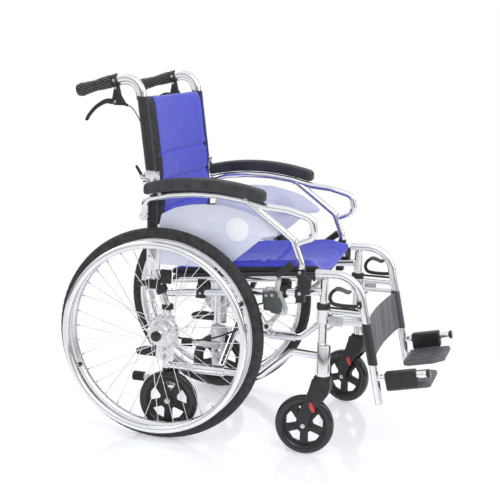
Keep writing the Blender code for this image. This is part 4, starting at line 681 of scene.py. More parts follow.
def screw(side, x, place, radius=0.0045, height=0.0022):
    """A socket-head screw: a domed round head with a hexagonal recess."""
    profile = [(0.0, height * 0.35), (radius * 0.5, height * 0.35), (radius * 0.55, height),
               (radius * 0.8, height), (radius, height * 0.6), (radius, 0.0)]
    return turned([(r, side * a) for r, a in profile], 24, (side * x, *place))


def hex_bolt(side, x, place, radius=0.0056, height=0.0036):
    """A hexagon bolt head on its washer, facing out to one side."""
    washer = across(side, x, x + 0.0010, place, radius * 1.35, 32, edge=0.0003)
    head = across(side, x + 0.0009, x + height, place, radius, 6, edge=0.0005)
    return [washer, head]

# %% [markdown]
# ## Drive wheels
#
# A 22 inch wheel carries the chair. The tyre is solid grey-black rubber with a shallow block
# tread; the rim is a double-walled extrusion; 36 thin spokes cross on their way from the rim
# to the hub's two flanges, with a nipple where each enters the rim. The tread is cut in the
# mesh itself: the crown's radius drops by a millimetre between the blocks.

# %% Tyre with tread
TYRE_HEIGHT = 0.0265
TREAD_PITCHES = 84
TREAD_STEPS = 5
TREAD_DEPTH = 0.0011


def tread_drop(pitch_share, across_share):
    """How deep the tread is cut at a share of a block's pitch and of the tyre's half width."""
    slanted = (pitch_share + 0.5 * abs(across_share)) % 1.0
    cross_cut = slanted < 0.30 and abs(across_share) > 0.12
    round_cut = 0.30 < abs(across_share) < 0.38
    return TREAD_DEPTH if cross_cut or round_cut else 0.0


def tyre(side):
    """The tyre: a rounded section turned about the axle, with a block tread on its crown."""
    foot = WHEEL_RADIUS - TYRE_HEIGHT
    wall = [(foot, 0.74), (foot + 0.003, 0.86), (foot + 0.008, 0.97), (foot + 0.012, 1.0),
            (foot + 0.016, 0.97), (foot + 0.0195, 0.89), (foot + 0.0225, 0.76)]
    crown = [(WHEEL_RADIUS - 0.0021, 0.60), (WHEEL_RADIUS - 0.0013, 0.46), (WHEEL_RADIUS - 0.0007, 0.34),
             (WHEEL_RADIUS - 0.0003, 0.20), (WHEEL_RADIUS, 0.06)]
    profile = mirrored_profile(wall + crown)
    segments = TREAD_PITCHES * TREAD_STEPS
    rings = []
    for k in range(segments):
        turn = 2 * pi * k / segments
        ring = []
        for r, share in profile:
            if r > WHEEL_RADIUS - 0.0024:
                r -= tread_drop((k % TREAD_STEPS) / TREAD_STEPS, share)
            ring.append((share * TYRE_HALF, r * cos(turn), r * sin(turn)))
        rings.append(ring)
    return moved(lofted(rings, closed=True), Matrix.Translation((side * WHEEL_X, 0.0, WHEEL_RADIUS)))


# %% Rim, spokes and hub
RIM_OUTER = WHEEL_RADIUS - TYRE_HEIGHT - GAP
RIM_INNER = RIM_OUTER - 0.0150
RIM_HALF = 0.0120
SPOKES = 36
HUB_FLANGE_X = 0.2800
HUB_CAP_X = 0.3000
DRUM_X = 0.2414
HUB_INNER_FLANGE = 0.0360
HUB_OUTER_FLANGE = 0.0215


def rim(side):
    """The box-section rim with its two rounded flanks and the hooks that hold the tyre."""
    w = RIM_HALF
    half = [(RIM_OUTER, w * 0.62), (RIM_OUTER, w * 0.98), (RIM_OUTER - 0.0015, w), (RIM_OUTER - 0.0070, w),
            (RIM_OUTER - 0.0090, w * 0.95), (RIM_INNER + 0.0030, w * 0.62), (RIM_INNER + 0.0008, w * 0.45),
            (RIM_INNER, w * 0.20)]
    return turned(mirrored_profile(half), 144, (side * WHEEL_X, 0.0, WHEEL_RADIUS), closed=True)


def spoke_ends(side, number):
    """Where a spoke starts at its hub flange and where it meets the rim."""
    outer = number % 2
    lean = 1 if (number // 2) % 2 else -1
    turn = 2 * pi * number / SPOKES
    hub_turn = turn + lean * radians(62.0)
    hub_r = HUB_OUTER_FLANGE if outer else HUB_INNER_FLANGE
    hub_x = HUB_FLANGE_X - 0.0012 * lean if outer else DRUM_X + 0.0045 + 0.0012 * lean
    start = Vector((side * hub_x, hub_r * cos(hub_turn), WHEEL_RADIUS + hub_r * sin(hub_turn)))
    end = Vector((side * (WHEEL_X + (0.002 if outer else -0.002)), (RIM_INNER + 0.003) * cos(turn),
                  WHEEL_RADIUS + (RIM_INNER + 0.003) * sin(turn)))
    return start, end


def hub(side):
    """The turned hub: brake drum inside, a waisted barrel and the outer flange."""
    profile = [(0.0065, DRUM_X), (0.0385, DRUM_X), (0.0400, DRUM_X + 0.0015), (0.0400, DRUM_X + 0.0080),
               (0.0385, DRUM_X + 0.0095), (0.0300, DRUM_X + 0.0100), (0.0180, DRUM_X + 0.0125),
               (0.0150, DRUM_X + 0.0160), (0.0142, DRUM_X + 0.0230), (0.0150, HUB_FLANGE_X - 0.0070),
               (0.0180, HUB_FLANGE_X - 0.0035), (0.0245, HUB_FLANGE_X - 0.0020),
               (0.0250, HUB_FLANGE_X - 0.0012),
               (0.0250, HUB_FLANGE_X + 0.0012), (0.0245, HUB_FLANGE_X + 0.0020),
               (0.0160, HUB_FLANGE_X + 0.0026),
               (0.0150, HUB_FLANGE_X + 0.0050), (0.0145, HUB_CAP_X - 0.0080), (0.0065, HUB_CAP_X - 0.0080)]
    return turned([(r, side * a) for r, a in profile], 64, (0.0, 0.0, WHEEL_RADIUS), closed=True)


# %% Build both drive wheels
for label, side in SIDES:
    body = f"rear_wheel_{label}"
    centre = (side * WHEEL_X, 0.0, WHEEL_RADIUS)
    dress(f"{label}_drive_tyre", body, tyre_rubber, tyre(side), stands_for=[f"rear_tyre_{label}"])
    dress(f"{label}_drive_rim", body, rim_alloy, rim(side), stands_for=[f"rear_wheel_{label}"])
    wires = []
    nipples = []
    for number in range(SPOKES):
        start, end = spoke_ends(side, number)
        wires.append(rod(start, end, 0.0010, 8))
        nipples.append(rod(end + (start - end).normalized() * 0.012, end, 0.0019, 10, 0.0022))
    dress(f"{label}_drive_spokes", body, alloy, *wires)
    dress(f"{label}_spoke_nipples", body, steel, *nipples)
    dress(f"{label}_drive_hub", body, rim_alloy, hub(side))
    cap = [(0.0, HUB_CAP_X), (0.0085, HUB_CAP_X), (0.0125, HUB_CAP_X - 0.0012),
           (0.0140, HUB_CAP_X - 0.0040), (0.0140, HUB_CAP_X - 0.0090), (0.0, HUB_CAP_X - 0.0090)]
    dress(f"{label}_hub_cap", body, gloss_black,
          turned([(r, side * a) for r, a in cap], 40, (0.0, 0.0, WHEEL_RADIUS)))

# %% [markdown]
# ### Push rings
#
# The occupant drives the chair by a slim aluminium ring outside each wheel. Four studs hold it
# off the rim; each ends in a black moulded foot against the rim's flank.

# %% Push rings
HANDRIM_RADIUS = 0.2453
HANDRIM_TUBE = 0.0095
HANDRIM_OFFSET = 0.0550
HANDRIM_STUDS = 4
HANDRIM_FIRST_STUD = radians(65.0)
RING_SEGMENTS = 144

for label, side in SIDES:
    body = f"rear_wheel_{label}"
    ring_x = side * (WHEEL_X + HANDRIM_OFFSET)
    section = circle((HANDRIM_RADIUS, 0.0), HANDRIM_TUBE, 18)
    ring = turned(section, RING_SEGMENTS, (ring_x, 0.0, WHEEL_RADIUS), closed=True)
    studs = []
    feet = []
    for k in range(HANDRIM_STUDS):
        turn = HANDRIM_FIRST_STUD + 2 * pi * k / HANDRIM_STUDS
        place = (HANDRIM_RADIUS * cos(turn), WHEEL_RADIUS + HANDRIM_RADIUS * sin(turn))
        seat = side * (WHEEL_X + RIM_HALF + GAP)
        studs.append(rod((seat + side * 0.014, *place), (ring_x, *place), 0.0042, 20))
        feet.append(rod((seat, *place), (seat + side * 0.016, *place), 0.0062, 20, 0.0054, edge=0.0008))
    dress(f"{label}_push_ring", body, alloy, ring, *studs, stands_for=[f"handrim_{label}"])
    dress(f"{label}_push_ring_feet", body, moulded, *feet)

# %% [markdown]
# ## Castors and transit wheels
#
# The four small wheels share one pattern: a solid black tyre on a moulded five-armed wheel.
# The wheel disc is a flat outline with five rounded windows, extruded with soft edges; the tyre
# and the hub are turned. The front pair runs in swivelling forks; the rear pair is fixed, for
# narrow aisles when the drive wheels are off.

# %% A star wheel
WINDOWS = 5
TRANSIT_RADIUS = 0.082
CASTOR_RADIUS = 0.078
TRANSIT_HALF = 0.0110
TRANSIT_Y, TRANSIT_Z = -0.014, 0.092
CASTOR_HALF = 0.0125


def star_window(hub_r, rim_r, middle):
    """One window: narrow at the hub, wide at the rim, with rounded corners."""
    spread = pi / WINDOWS
    corners = [(hub_r, middle - spread * 0.30), (rim_r - 0.002, middle - spread * 0.66), (rim_r, middle),
               (rim_r - 0.002, middle + spread * 0.66), (hub_r, middle + spread * 0.30)]
    return softened([(r * cos(a), r * sin(a)) for r, a in corners], 0.0028, 4)


def star_wheel(name, body, centre, radius, half, turn):
    """Tyre, five-armed disc, hub and axle screws of one small wheel."""
    axle = Matrix.Rotation(turn, 3, "Z") @ Vector((1, 0, 0))
    lay = Matrix.Translation(centre) @ Matrix.Rotation(turn, 4, "Z")
    rim_r = radius * 0.735
    foot = rim_r + 0.0012
    wall = [(foot, half * 0.72), (foot + 0.0012, half * 0.84), (foot + 0.004, half * 0.95),
            (radius * 0.86, half),
            (radius * 0.93, half * 0.93), (radius * 0.965, half * 0.80), (radius * 0.985, half * 0.62),
            (radius * 0.996, half * 0.36), (radius, half * 0.12)]
    tyre_ring = turned(mirrored_profile(wall), 96, centre, axle, closed=True)
    dress(f"{name}_tyre", body, gloss_black, tyre_ring, stands_for=[body])
    windows = [star_window(radius * 0.30, rim_r - 0.006, 2 * pi * (k + 0.25) / WINDOWS)
               for k in range(WINDOWS)]
    disc = moved(plate([circle((0, 0), rim_r, 72), *windows], 0.0, half * 0.46, 0.0015), lay)
    lip = [(rim_r - 0.004, half * 0.40), (rim_r - 0.0035, half * 0.66), (rim_r - 0.0020, half * 0.78),
           (rim_r + 0.0008, half * 0.78), (rim_r + 0.0010, 0.0)]
    lip += [(r, -a) for r, a in reversed(lip[:-1])]
    step = turned(lip, 96, centre, axle, closed=True)
    boss = [(0.0052, half), (radius * 0.15, half), (radius * 0.17, half - 0.0012),
            (radius * 0.18, half * 0.5), (radius * 0.26, half * 0.44)]
    dress(f"{name}_disc", body, moulded, disc, step, turned(mirrored_profile(boss), 48, centre, axle,
                                                            closed=True))


# %% [markdown]
# A castor fork is one moulding in glass-filled nylon: a crown as wide as the steering head,
# drawn down into two flat arms that trail behind the stem, so that the wheel follows. A red
# oval reflector is let into each arm, and a bolt with a domed head runs through the wheel.

# %% Castor forks
CASTOR_X = 0.240
CASTOR_Y = -0.437
CASTOR_TRAIL = 0.042
CASTOR_SWIVEL = {"right": 0.0, "left": radians(18.0)}
HOUSING_FOOT_Z = 0.212
ARM_IN = CASTOR_HALF + 0.002
ARM_OUT = ARM_IN + 0.0060


def fork_arm(inward):
    """One arm of the fork, tapering from the crown down to its rounded end on the axle."""
    wheel_y, wheel_z = CASTOR_TRAIL, CASTOR_RADIUS
    end = [(wheel_y + 0.013 * cos(a), wheel_z + 0.013 * sin(a)) for a in
           [radians(200) + radians(150) * k / 14 for k in range(15)]]
    front = flowing([(-0.0225, 0.205, 0), (-0.0235, 0.182, 0), (-0.010, 0.152, 0), (0.016, 0.120, 0),
                     (wheel_y - 0.0135, wheel_z + 0.010, 0)], 6)
    rear = flowing([(wheel_y + 0.0125, wheel_z + 0.006, 0), (wheel_y + 0.011, 0.118, 0), (0.0400, 0.150, 0),
                    (0.0300, 0.180, 0), (0.0235, 0.205, 0)], 6)
    outline = [(p.x, p.y) for p in front[:-1]] + end + [(p.x, p.y) for p in rear]
    half = (ARM_OUT - ARM_IN) / 2
    return plate([outline], inward * (ARM_IN + half), half, 0.0016)


def fork_crown():
    """The crown over the wheel: oval sections that widen from the arms up to the steering head."""
    sections = [(0.158, -0.0125, 0.0395, ARM_OUT), (0.166, -0.0185, 0.0365, ARM_OUT),
                (0.178, -0.0225, 0.0315, ARM_OUT),
                (0.190, -0.0235, 0.0272, 0.0205), (0.202, -0.0228, 0.0240, 0.0212),
                (0.2095, -0.0212, 0.0215, 0.0208), (HOUSING_FOOT_Z - GAP, -0.0198, 0.0198, 0.0196)]
    around = 40
    rings = []
    for z, front, rear, half in sections:
        middle, reach = (front + rear) / 2, (rear - front) / 2
        ring = []
        for k in range(around):
            a = 2 * pi * k / around
            blunt = (abs(cos(a)) ** 3 + abs(sin(a)) ** 3) ** (-1 / 3)
            ring.append((half * blunt * cos(a), middle + reach * blunt * sin(a), z))
        rings.append(ring)
    return lofted(rings)


def reflector(outward):
    """The oval reflector on a fork arm."""
    centre = Vector((outward * ARM_OUT, 0.0205, 0.1300))
    lean = Matrix.Rotation(radians(-24), 4, "X")
    dome = [(0.0, 0.0016), (0.35, 0.0015), (0.7, 0.0011), (0.9, 0.0006), (1.0, -0.0004)]
    shape = turned([(r * 0.0062, outward * a) for r, a in dome], 36, (0, 0, 0))
    moved(shape, Matrix.Diagonal((1.0, 1.0, 2.3, 1.0)))
    return moved(shape, Matrix.Translation(centre) @ lean)


for label, side in SIDES:
    turn = CASTOR_SWIVEL[label] * side
    stem = Matrix.Translation((side * CASTOR_X, CASTOR_Y, 0.0)) @ Matrix.Rotation(-turn, 4, "Z")
    body = f"castor_{label}"
    shapes = [moved(shape, stem) for shape in (fork_crown(), fork_arm(-1), fork_arm(1))]
    dress(f"{label}_castor_fork", body, moulded, *shapes, stands_for=[f"castor_fork_{label}"])
    spots = [moved(reflector(outward), stem) for outward in (-1, 1)]
    dress(f"{label}_fork_reflectors", body, reflector_red, *spots)
    place = (CASTOR_TRAIL, CASTOR_RADIUS)
    axle = rod((-ARM_OUT, *place), (ARM_OUT, *place), 0.0044)
    heads = [turned([(0.0, s * 0.0030), (0.0036, s * 0.0027), (0.0058, s * 0.0014), (0.0062, 0.0)], 32,
                    (s * ARM_OUT, *place)) for s in (-1, 1)]
    pin = rod((0, 0, HOUSING_FOOT_Z - 0.004), (0, 0, 0.284), 0.0073)
    dress(f"{label}_castor_bolt", body, steel, *[moved(shape, stem) for shape in (axle, pin, *heads)])
    star_wheel(f"{label}_castor", f"castor_wheel_{label}", stem @ Vector((0.0, *place)), CASTOR_RADIUS,
               CASTOR_HALF, -turn)
    star_wheel(f"{label}_transit", f"transit_wheel_{label}", Vector((side * 0.2235, TRANSIT_Y, TRANSIT_Z)),
               TRANSIT_RADIUS, TRANSIT_HALF, 0.0)

# %% [markdown]
# ## The side frames
#
# Each side is one welded aluminium frame. Its tubes run through each other and are welded
# there; the weld bead shows as a small fillet ring. On it sit black mouldings: two saddles that
# the seat rail drops into, a clamp on the rear post and the socket for the armrest's leg.

# %% Frame measures
TUBE = 0.0110
# just under the outer face of a frame tube, where a fitting is let in
FITTING_X = 0.2290
RAIL_TUBE = 0.0098
RAIL_RISE = 0.0987
POST_Y = -0.427
REAR_POST_Y = -0.004
LOWER_TUBE_Z = 0.188
LOWER_FRONT_Z = 0.262
HOUSING_TOP_Z = 0.292
CANE_JOINT = (0.0270, 0.432)
SEAT_RAIL = 0.0113
SEAT_RAIL_X = 0.197
SADDLES_Y = (-0.097, -0.318)
LATCH_Y = -0.370
SOCKET_TOP_Z = 0.4335


def frame_rail_z(y):
    """Height of the frame rail's middle."""
    return 0.385 - RAIL_RISE * y


def seat_rail_z(y):
    """Height of the seat rail's middle."""
    return 0.4202 - RAIL_RISE * (y + 0.012)


def weld(place, axis, radius):
    """A weld bead: a small uneven ring where two tubes meet."""
    bead = 0.0016
    around, section = 48, 8
    rings = []
    for k in range(around):
        a = 2 * pi * k / around
        swell = bead * (1 + 0.22 * sin(9 * a) * sin(4 * a + 1))
        rings.append([((radius + swell * cos(b)) * cos(a), (radius + swell * cos(b)) * sin(a),
                       swell * sin(b))
                      for b in [2 * pi * n / section for n in range(section)]])
    return moved(lofted(rings, closed=True), laid(place, axis))


# %% Welded tubes
for label, side in SIDES:
    x = side * FRAME_X
    body = f"{label}_frame"
    post = tube(rounded([(x, REAR_POST_Y, 0.176), (x, REAR_POST_Y, 0.335), (x, *CANE_JOINT)], 0.05), TUBE)
    rail = tube([(x, REAR_POST_Y, frame_rail_z(REAR_POST_Y)), (x, POST_Y, frame_rail_z(POST_Y))], RAIL_TUBE)
    front = tube([(x, POST_Y, 0.250), (x, POST_Y, 0.4605)], TUBE)
    lower = tube(rounded([(x, REAR_POST_Y, LOWER_TUBE_Z), (x, -0.264, LOWER_TUBE_Z),
                          (x, -0.350, LOWER_FRONT_Z),
                          (side * CASTOR_X, CASTOR_Y, LOWER_FRONT_Z)], 0.03), RAIL_TUBE)
    head = turned([(0.0079, 0.0), (0.0165, 0.0), (0.0175, 0.0008), (0.0175, 0.0785), (0.0165, 0.0800),
                   (0.0, 0.0800), (0.0, 0.0745), (0.0079, 0.0745)], 40,
                  (side * CASTOR_X, CASTOR_Y, HOUSING_FOOT_Z), (0, 0, 1))
    along_rail = (0, -1, RAIL_RISE)
    welds = [weld((x, REAR_POST_Y - TUBE, frame_rail_z(REAR_POST_Y - TUBE)), along_rail, RAIL_TUBE),
             weld((x, POST_Y + TUBE, frame_rail_z(POST_Y + TUBE)), along_rail, RAIL_TUBE),
             weld((x, REAR_POST_Y - TUBE, LOWER_TUBE_Z), (0, 1, 0), RAIL_TUBE),
             weld((x, POST_Y, HOUSING_TOP_Z), (0, 0, 1), TUBE)]
    foot_cap = rod((x, REAR_POST_Y, 0.1745), (x, REAR_POST_Y, 0.182), 0.0112, 32, edge=0.001)
    dress(f"{label}_frame_tubes", body, alloy, post, rail, front, lower, head, *welds,
          stands_for=[f"side_frame_{label}"])
    dress(f"{label}_post_plug", body, moulded, foot_cap)

# %% Saddles, clamp and armrest socket
for label, side in SIDES:
    x = side * FRAME_X
    body = f"{label}_frame"
    mouldings = []
    for y in SADDLES_Y:
        foot = frame_rail_z(y) - RAIL_TUBE - 0.0030
        seat = seat_rail_z(y)
        mouldings.append(side_block(side, 0.1830, 0.2305, (y - 0.0110, foot), (y + 0.0110, seat - 0.0150),
                                    0.002))
        for x_in, x_out in ((0.1812, 0.1855), (0.2086, 0.2130)):
            wall_low, wall_high = (y - 0.0135, foot + 0.004), (y + 0.0135, seat - 0.0005)
            mouldings.append(side_block(side, x_in, x_out, wall_low, wall_high, 0.0012))
        mouldings.append(side_block(side, 0.2060, 0.2312, (y - 0.0125, foot - 0.0008),
                                    (y + 0.0125, foot + 0.0052), 0.0018))
    mouldings.append(side_block(side, 0.2235, 0.2562, (LATCH_Y - 0.0122, 0.4118),
                                (LATCH_Y + 0.0122, SOCKET_TOP_Z), 0.0022))
    mouldings.append(side_block(side, 0.2242, 0.2500, (LATCH_Y - 0.0105, 0.3980),
                                (LATCH_Y + 0.0105, 0.4130), 0.002))
    collar = band(TUBE, TUBE + 0.0052, -0.011, 0.011, (0.0012, 0.0015), 32, (x, 0.0140, 0.3935),
                  (0, 0.42, 0.907))
    lug = side_block(side, FITTING_X, 0.2400, (0.0135, 0.3960), (0.0500, 0.4210), 0.003)
    knob = rod((side * 0.2330, 0.0440, 0.4100), (side * 0.2330, 0.0770, 0.4060), 0.0080, 24, edge=0.0020)
    rail_end = side_block(side, FITTING_X, 0.2390, (-0.0175, 0.4130), (0.0115, 0.4500), 0.002)
    paddle = plate([ribbon(((0.0120, 0.2225), (0.0450, 0.2235), (0.0700, 0.2205)),
                           (0.0118, 0.0132, 0.0100))],
                   side * 0.2271, 0.0042, 0.0016)
    gusset = plate([softened([(0.0150, 0.4480), (0.0520, 0.4480), (0.0530, 0.5080), (0.0165, 0.5140)],
                             0.004)],
                   side * 0.2338, 0.0017, 0.0006)
    dress(f"{label}_cane_gusset", body, alloy, gusset, *hex_bolt(side, 0.2354, (0.0440, 0.4800), 0.0050))
    low_clamp = band(TUBE, TUBE + 0.0048, -0.007, 0.007, (0.0008, 0.0015), 32, (x, REAR_POST_Y, 0.3480),
                     (0, 0, 1))
    mouldings += [collar, lug, knob, low_clamp, rail_end, paddle]
    dress(f"{label}_frame_mouldings", body, moulded, *mouldings)
    bolts = [screw(side, 0.2562, (LATCH_Y, 0.4235), 0.0046)]
    bolts += [screw(side, 0.2313, (y, frame_rail_z(y)), 0.0038) for y in SADDLES_Y]
    dress(f"{label}_frame_screws", body, steel, *bolts)

# %% [markdown]
# ## Axle plates, drum brakes and transit wheel brackets
#
# Outside each rear post sits a drilled aluminium plate: its row of holes lets the drive wheel be
# set higher or lower. The drum brake's back plate is bolted to it and stands still while the hub
# turns. Inside the post a second plate reaches down to the transit wheel and carries the
# tipping lever, a tube with a ribbed rubber sleeve that the helper treads on at a kerb.

# %% Plates at the rear post
PLATE_X = 0.2313
PLATE_OUT = 0.2358
BRACKET_IN = 0.2021
BRACKET_OUT = 0.2087
TIPPING_X, TIPPING_Z = 0.1985, 0.142


for label, side in SIDES:
    body = f"{label}_frame"
    outline = softened([(-0.030, 0.203), (0.020, 0.203), (0.020, 0.328), (-0.030, 0.328)], 0.008)
    holes = [circle((-0.005, 0.220 + row * 0.0185), 0.0045) for row in range(3)]
    holes += [circle((-0.018, 0.3135), 0.0030), circle((0.009, 0.3135), 0.0030)]
    drilled = side_plate(side, PLATE_X, PLATE_OUT, [outline, *holes], 0.0007)
    dress(f"{label}_axle_plate", body, alloy, drilled, stands_for=[f"axle_plate_{label}"])
    bolts = hex_bolt(side, PLATE_OUT, (-0.004, 0.3195), 0.0050)
    bolts += hex_bolt(side, PLATE_OUT, (-0.005, 0.2105), 0.0046)
    dress(f"{label}_axle_plate_bolts", body, steel, *bolts)
    foot = softened([(TRANSIT_Y - 0.017, TRANSIT_Z - 0.015), (TRANSIT_Y + 0.017, TRANSIT_Z - 0.015),
                     (TRANSIT_Y + 0.024, 0.205), (TRANSIT_Y - 0.024, 0.205)], 0.008)
    window = softened([(TRANSIT_Y - 0.008, 0.122), (TRANSIT_Y + 0.008, 0.122), (TRANSIT_Y + 0.0095, 0.128),
                       (TRANSIT_Y - 0.0095, 0.128)], 0.002)
    strip = side_plate(side, BRACKET_IN, BRACKET_OUT, [foot, window], 0.0008)
    spacer = across(side, BRACKET_OUT - 0.001, 0.2122, (TRANSIT_Y, TRANSIT_Z), 0.008)
    axle = across(side, BRACKET_IN - 0.003, 0.2362, (TRANSIT_Y, TRANSIT_Z), 0.0040)
    handle = rod((side * TIPPING_X, TRANSIT_Y - 0.004, TIPPING_Z), (side * TIPPING_X, 0.092, TIPPING_Z),
                 0.0092, 28)
    nut = across(side, BRACKET_IN - 0.0045, BRACKET_IN - 0.0002, (TRANSIT_Y, TRANSIT_Z), 0.0070, 6,
                 edge=0.0005)
    head = hex_bolt(side, 0.2348, (TRANSIT_Y, TRANSIT_Z), 0.0060)
    dress(f"{label}_transit_bracket", body, steel, strip, spacer, axle, handle, nut, *head,
          stands_for=[f"transit_bracket_{label}"])
    ribs = [(0.0, 0.0262), (0.0095, 0.0262), (0.0095, 0.0), (0.0108, -0.0004), (0.0130, 0.0008)]
    for k in range(6):
        base = 0.0016 + k * 0.0046
        ribs += [(0.0130, base), (0.0130, base + 0.0026), (0.0119, base + 0.0031), (0.0119, base + 0.0041)]
    ribs += [(0.0130, 0.0296), (0.0116, 0.0316), (0.0, 0.0320)]
    sleeve = turned(ribs, 48, (side * TIPPING_X, 0.066, TIPPING_Z), (0, 1, 0))
    dress(f"{label}_tipping_sleeve", body, soft_grip, sleeve, stands_for=[f"tipping_grip_{label}"])

# %% Drum brake plates
DRUM_IN = 0.2361
DRUM_OUT = 0.2406
for label, side in SIDES:
    body = f"{label}_frame"
    dish = [(0.0060, side * DRUM_IN), (0.0425, side * DRUM_IN), (0.0440, side * (DRUM_IN + 0.0012)),
            (0.0440, side * (DRUM_OUT - 0.0006)), (0.0432, side * DRUM_OUT), (0.0060, side * DRUM_OUT)]
    back_plate = turned(dish, 96, (0.0, 0.0, WHEEL_RADIUS), closed=True)
    axle = across(side, 0.2318, 0.2920, (0.0, WHEEL_RADIUS), 0.0060)
    arm = plate([softened([(-0.030, 0.2742), (-0.020, 0.2805), (-0.0335, 0.2960), (-0.0415, 0.2900)],
                          0.003)],
                side * (DRUM_IN - 0.0018), 0.0016)
    post = across(side, DRUM_IN - 0.0030, DRUM_IN + 0.001, (-0.0370, 0.2925), 0.0040)
    dress(f"{label}_drum_plate", body, steel, back_plate, axle, arm, post,
          stands_for=[f"hub_brake_{label}"])

# %% [markdown]
# ## The folding cross
#
# Two braces cross under the seat. Each turns on the lower tube of its own side in a long sleeve
# and carries the seat rail of the other side, so that the chair folds when the seat is pulled
# up. Black plugs close the rails' ends, and a shoulder screw holds the two braces together.

# %% Braces and seat rails
CROSS_Y = -0.1655
CROSS_SPACING = 0.025
LEG_TUBE = 0.0092
for label, side in SIDES:
    leg_y = CROSS_Y - side * CROSS_SPACING / 2
    foot = Vector((side * FRAME_X, leg_y, LOWER_TUBE_Z))
    top = Vector((-side * SEAT_RAIL_X, leg_y, seat_rail_z(leg_y)))
    along = (top - foot).normalized()
    leg = rod(foot + along * 0.0115, top - along * 0.004, LEG_TUBE, 32)
    sleeve_ends = (leg_y + side * 0.014, leg_y - side * 0.072)
    low_y, high_y = min(sleeve_ends), max(sleeve_ends)
    sleeve = band(0.0104, 0.0135, low_y, high_y, (0.0007, 0.0008), 40, (foot.x, 0.0, foot.z), (0, 1, 0))
    rail_ends = [Vector((top.x, y, seat_rail_z(y))) for y in (-0.0135, -0.3945)]
    rail = rod(*rail_ends, SEAT_RAIL, 40)
    welds = [weld(foot + along * 0.0138, along, LEG_TUBE), weld(top - along * 0.0112, along, LEG_TUBE)]
    dress(f"{label}_cross_brace", f"cross_{label}", alloy, leg, sleeve, rail, *welds,
          stands_for=[f"cross_brace_{label}"])
    run = (rail_ends[0] - rail_ends[1]).normalized()
    plugs = []
    for end, out in ((rail_ends[0], run), (rail_ends[1], -run)):
        dome = [(0.0, 0.0030), (0.0075, 0.0026), (0.0105, 0.0014), (0.01135, 0.0), (0.01135, -0.0012),
                (0.0, -0.0012)]
        plugs.append(turned(dome, 36, end, out))
    dress(f"{label}_rail_plugs", f"cross_{label}", moulded, *plugs)
crossing_share = FRAME_X / (FRAME_X + SEAT_RAIL_X)
y = CROSS_Y + CROSS_SPACING / 2
start = Vector((-FRAME_X, y, LOWER_TUBE_Z))
cross_point = start + (Vector((SEAT_RAIL_X, y, seat_rail_z(y))) - start) * crossing_share
pin = rod(cross_point + Vector((0, 0.0100, 0)), cross_point - Vector((0, 0.0125, 0)), 0.0050)
pin_head = turned([(0.0, 0.0038), (0.0050, 0.0035), (0.0076, 0.0016), (0.0080, 0.0), (0.0, 0.0)], 36,
                  cross_point + Vector((0, 0.0088, 0)), (0, 1, 0))
dress("brace_pin", "cross_right", steel, pin, pin_head)

# %% [markdown]
# ## Parking brakes
#
# A push-to-lock brake stands ahead of each drive wheel. Its carrier is clamped to the frame
# rail; a flat lever with a black oblique grip turns on it and drives a short arm, whose roller
# presses into the tyre. A dark folded cover keeps clothes out of the linkage.

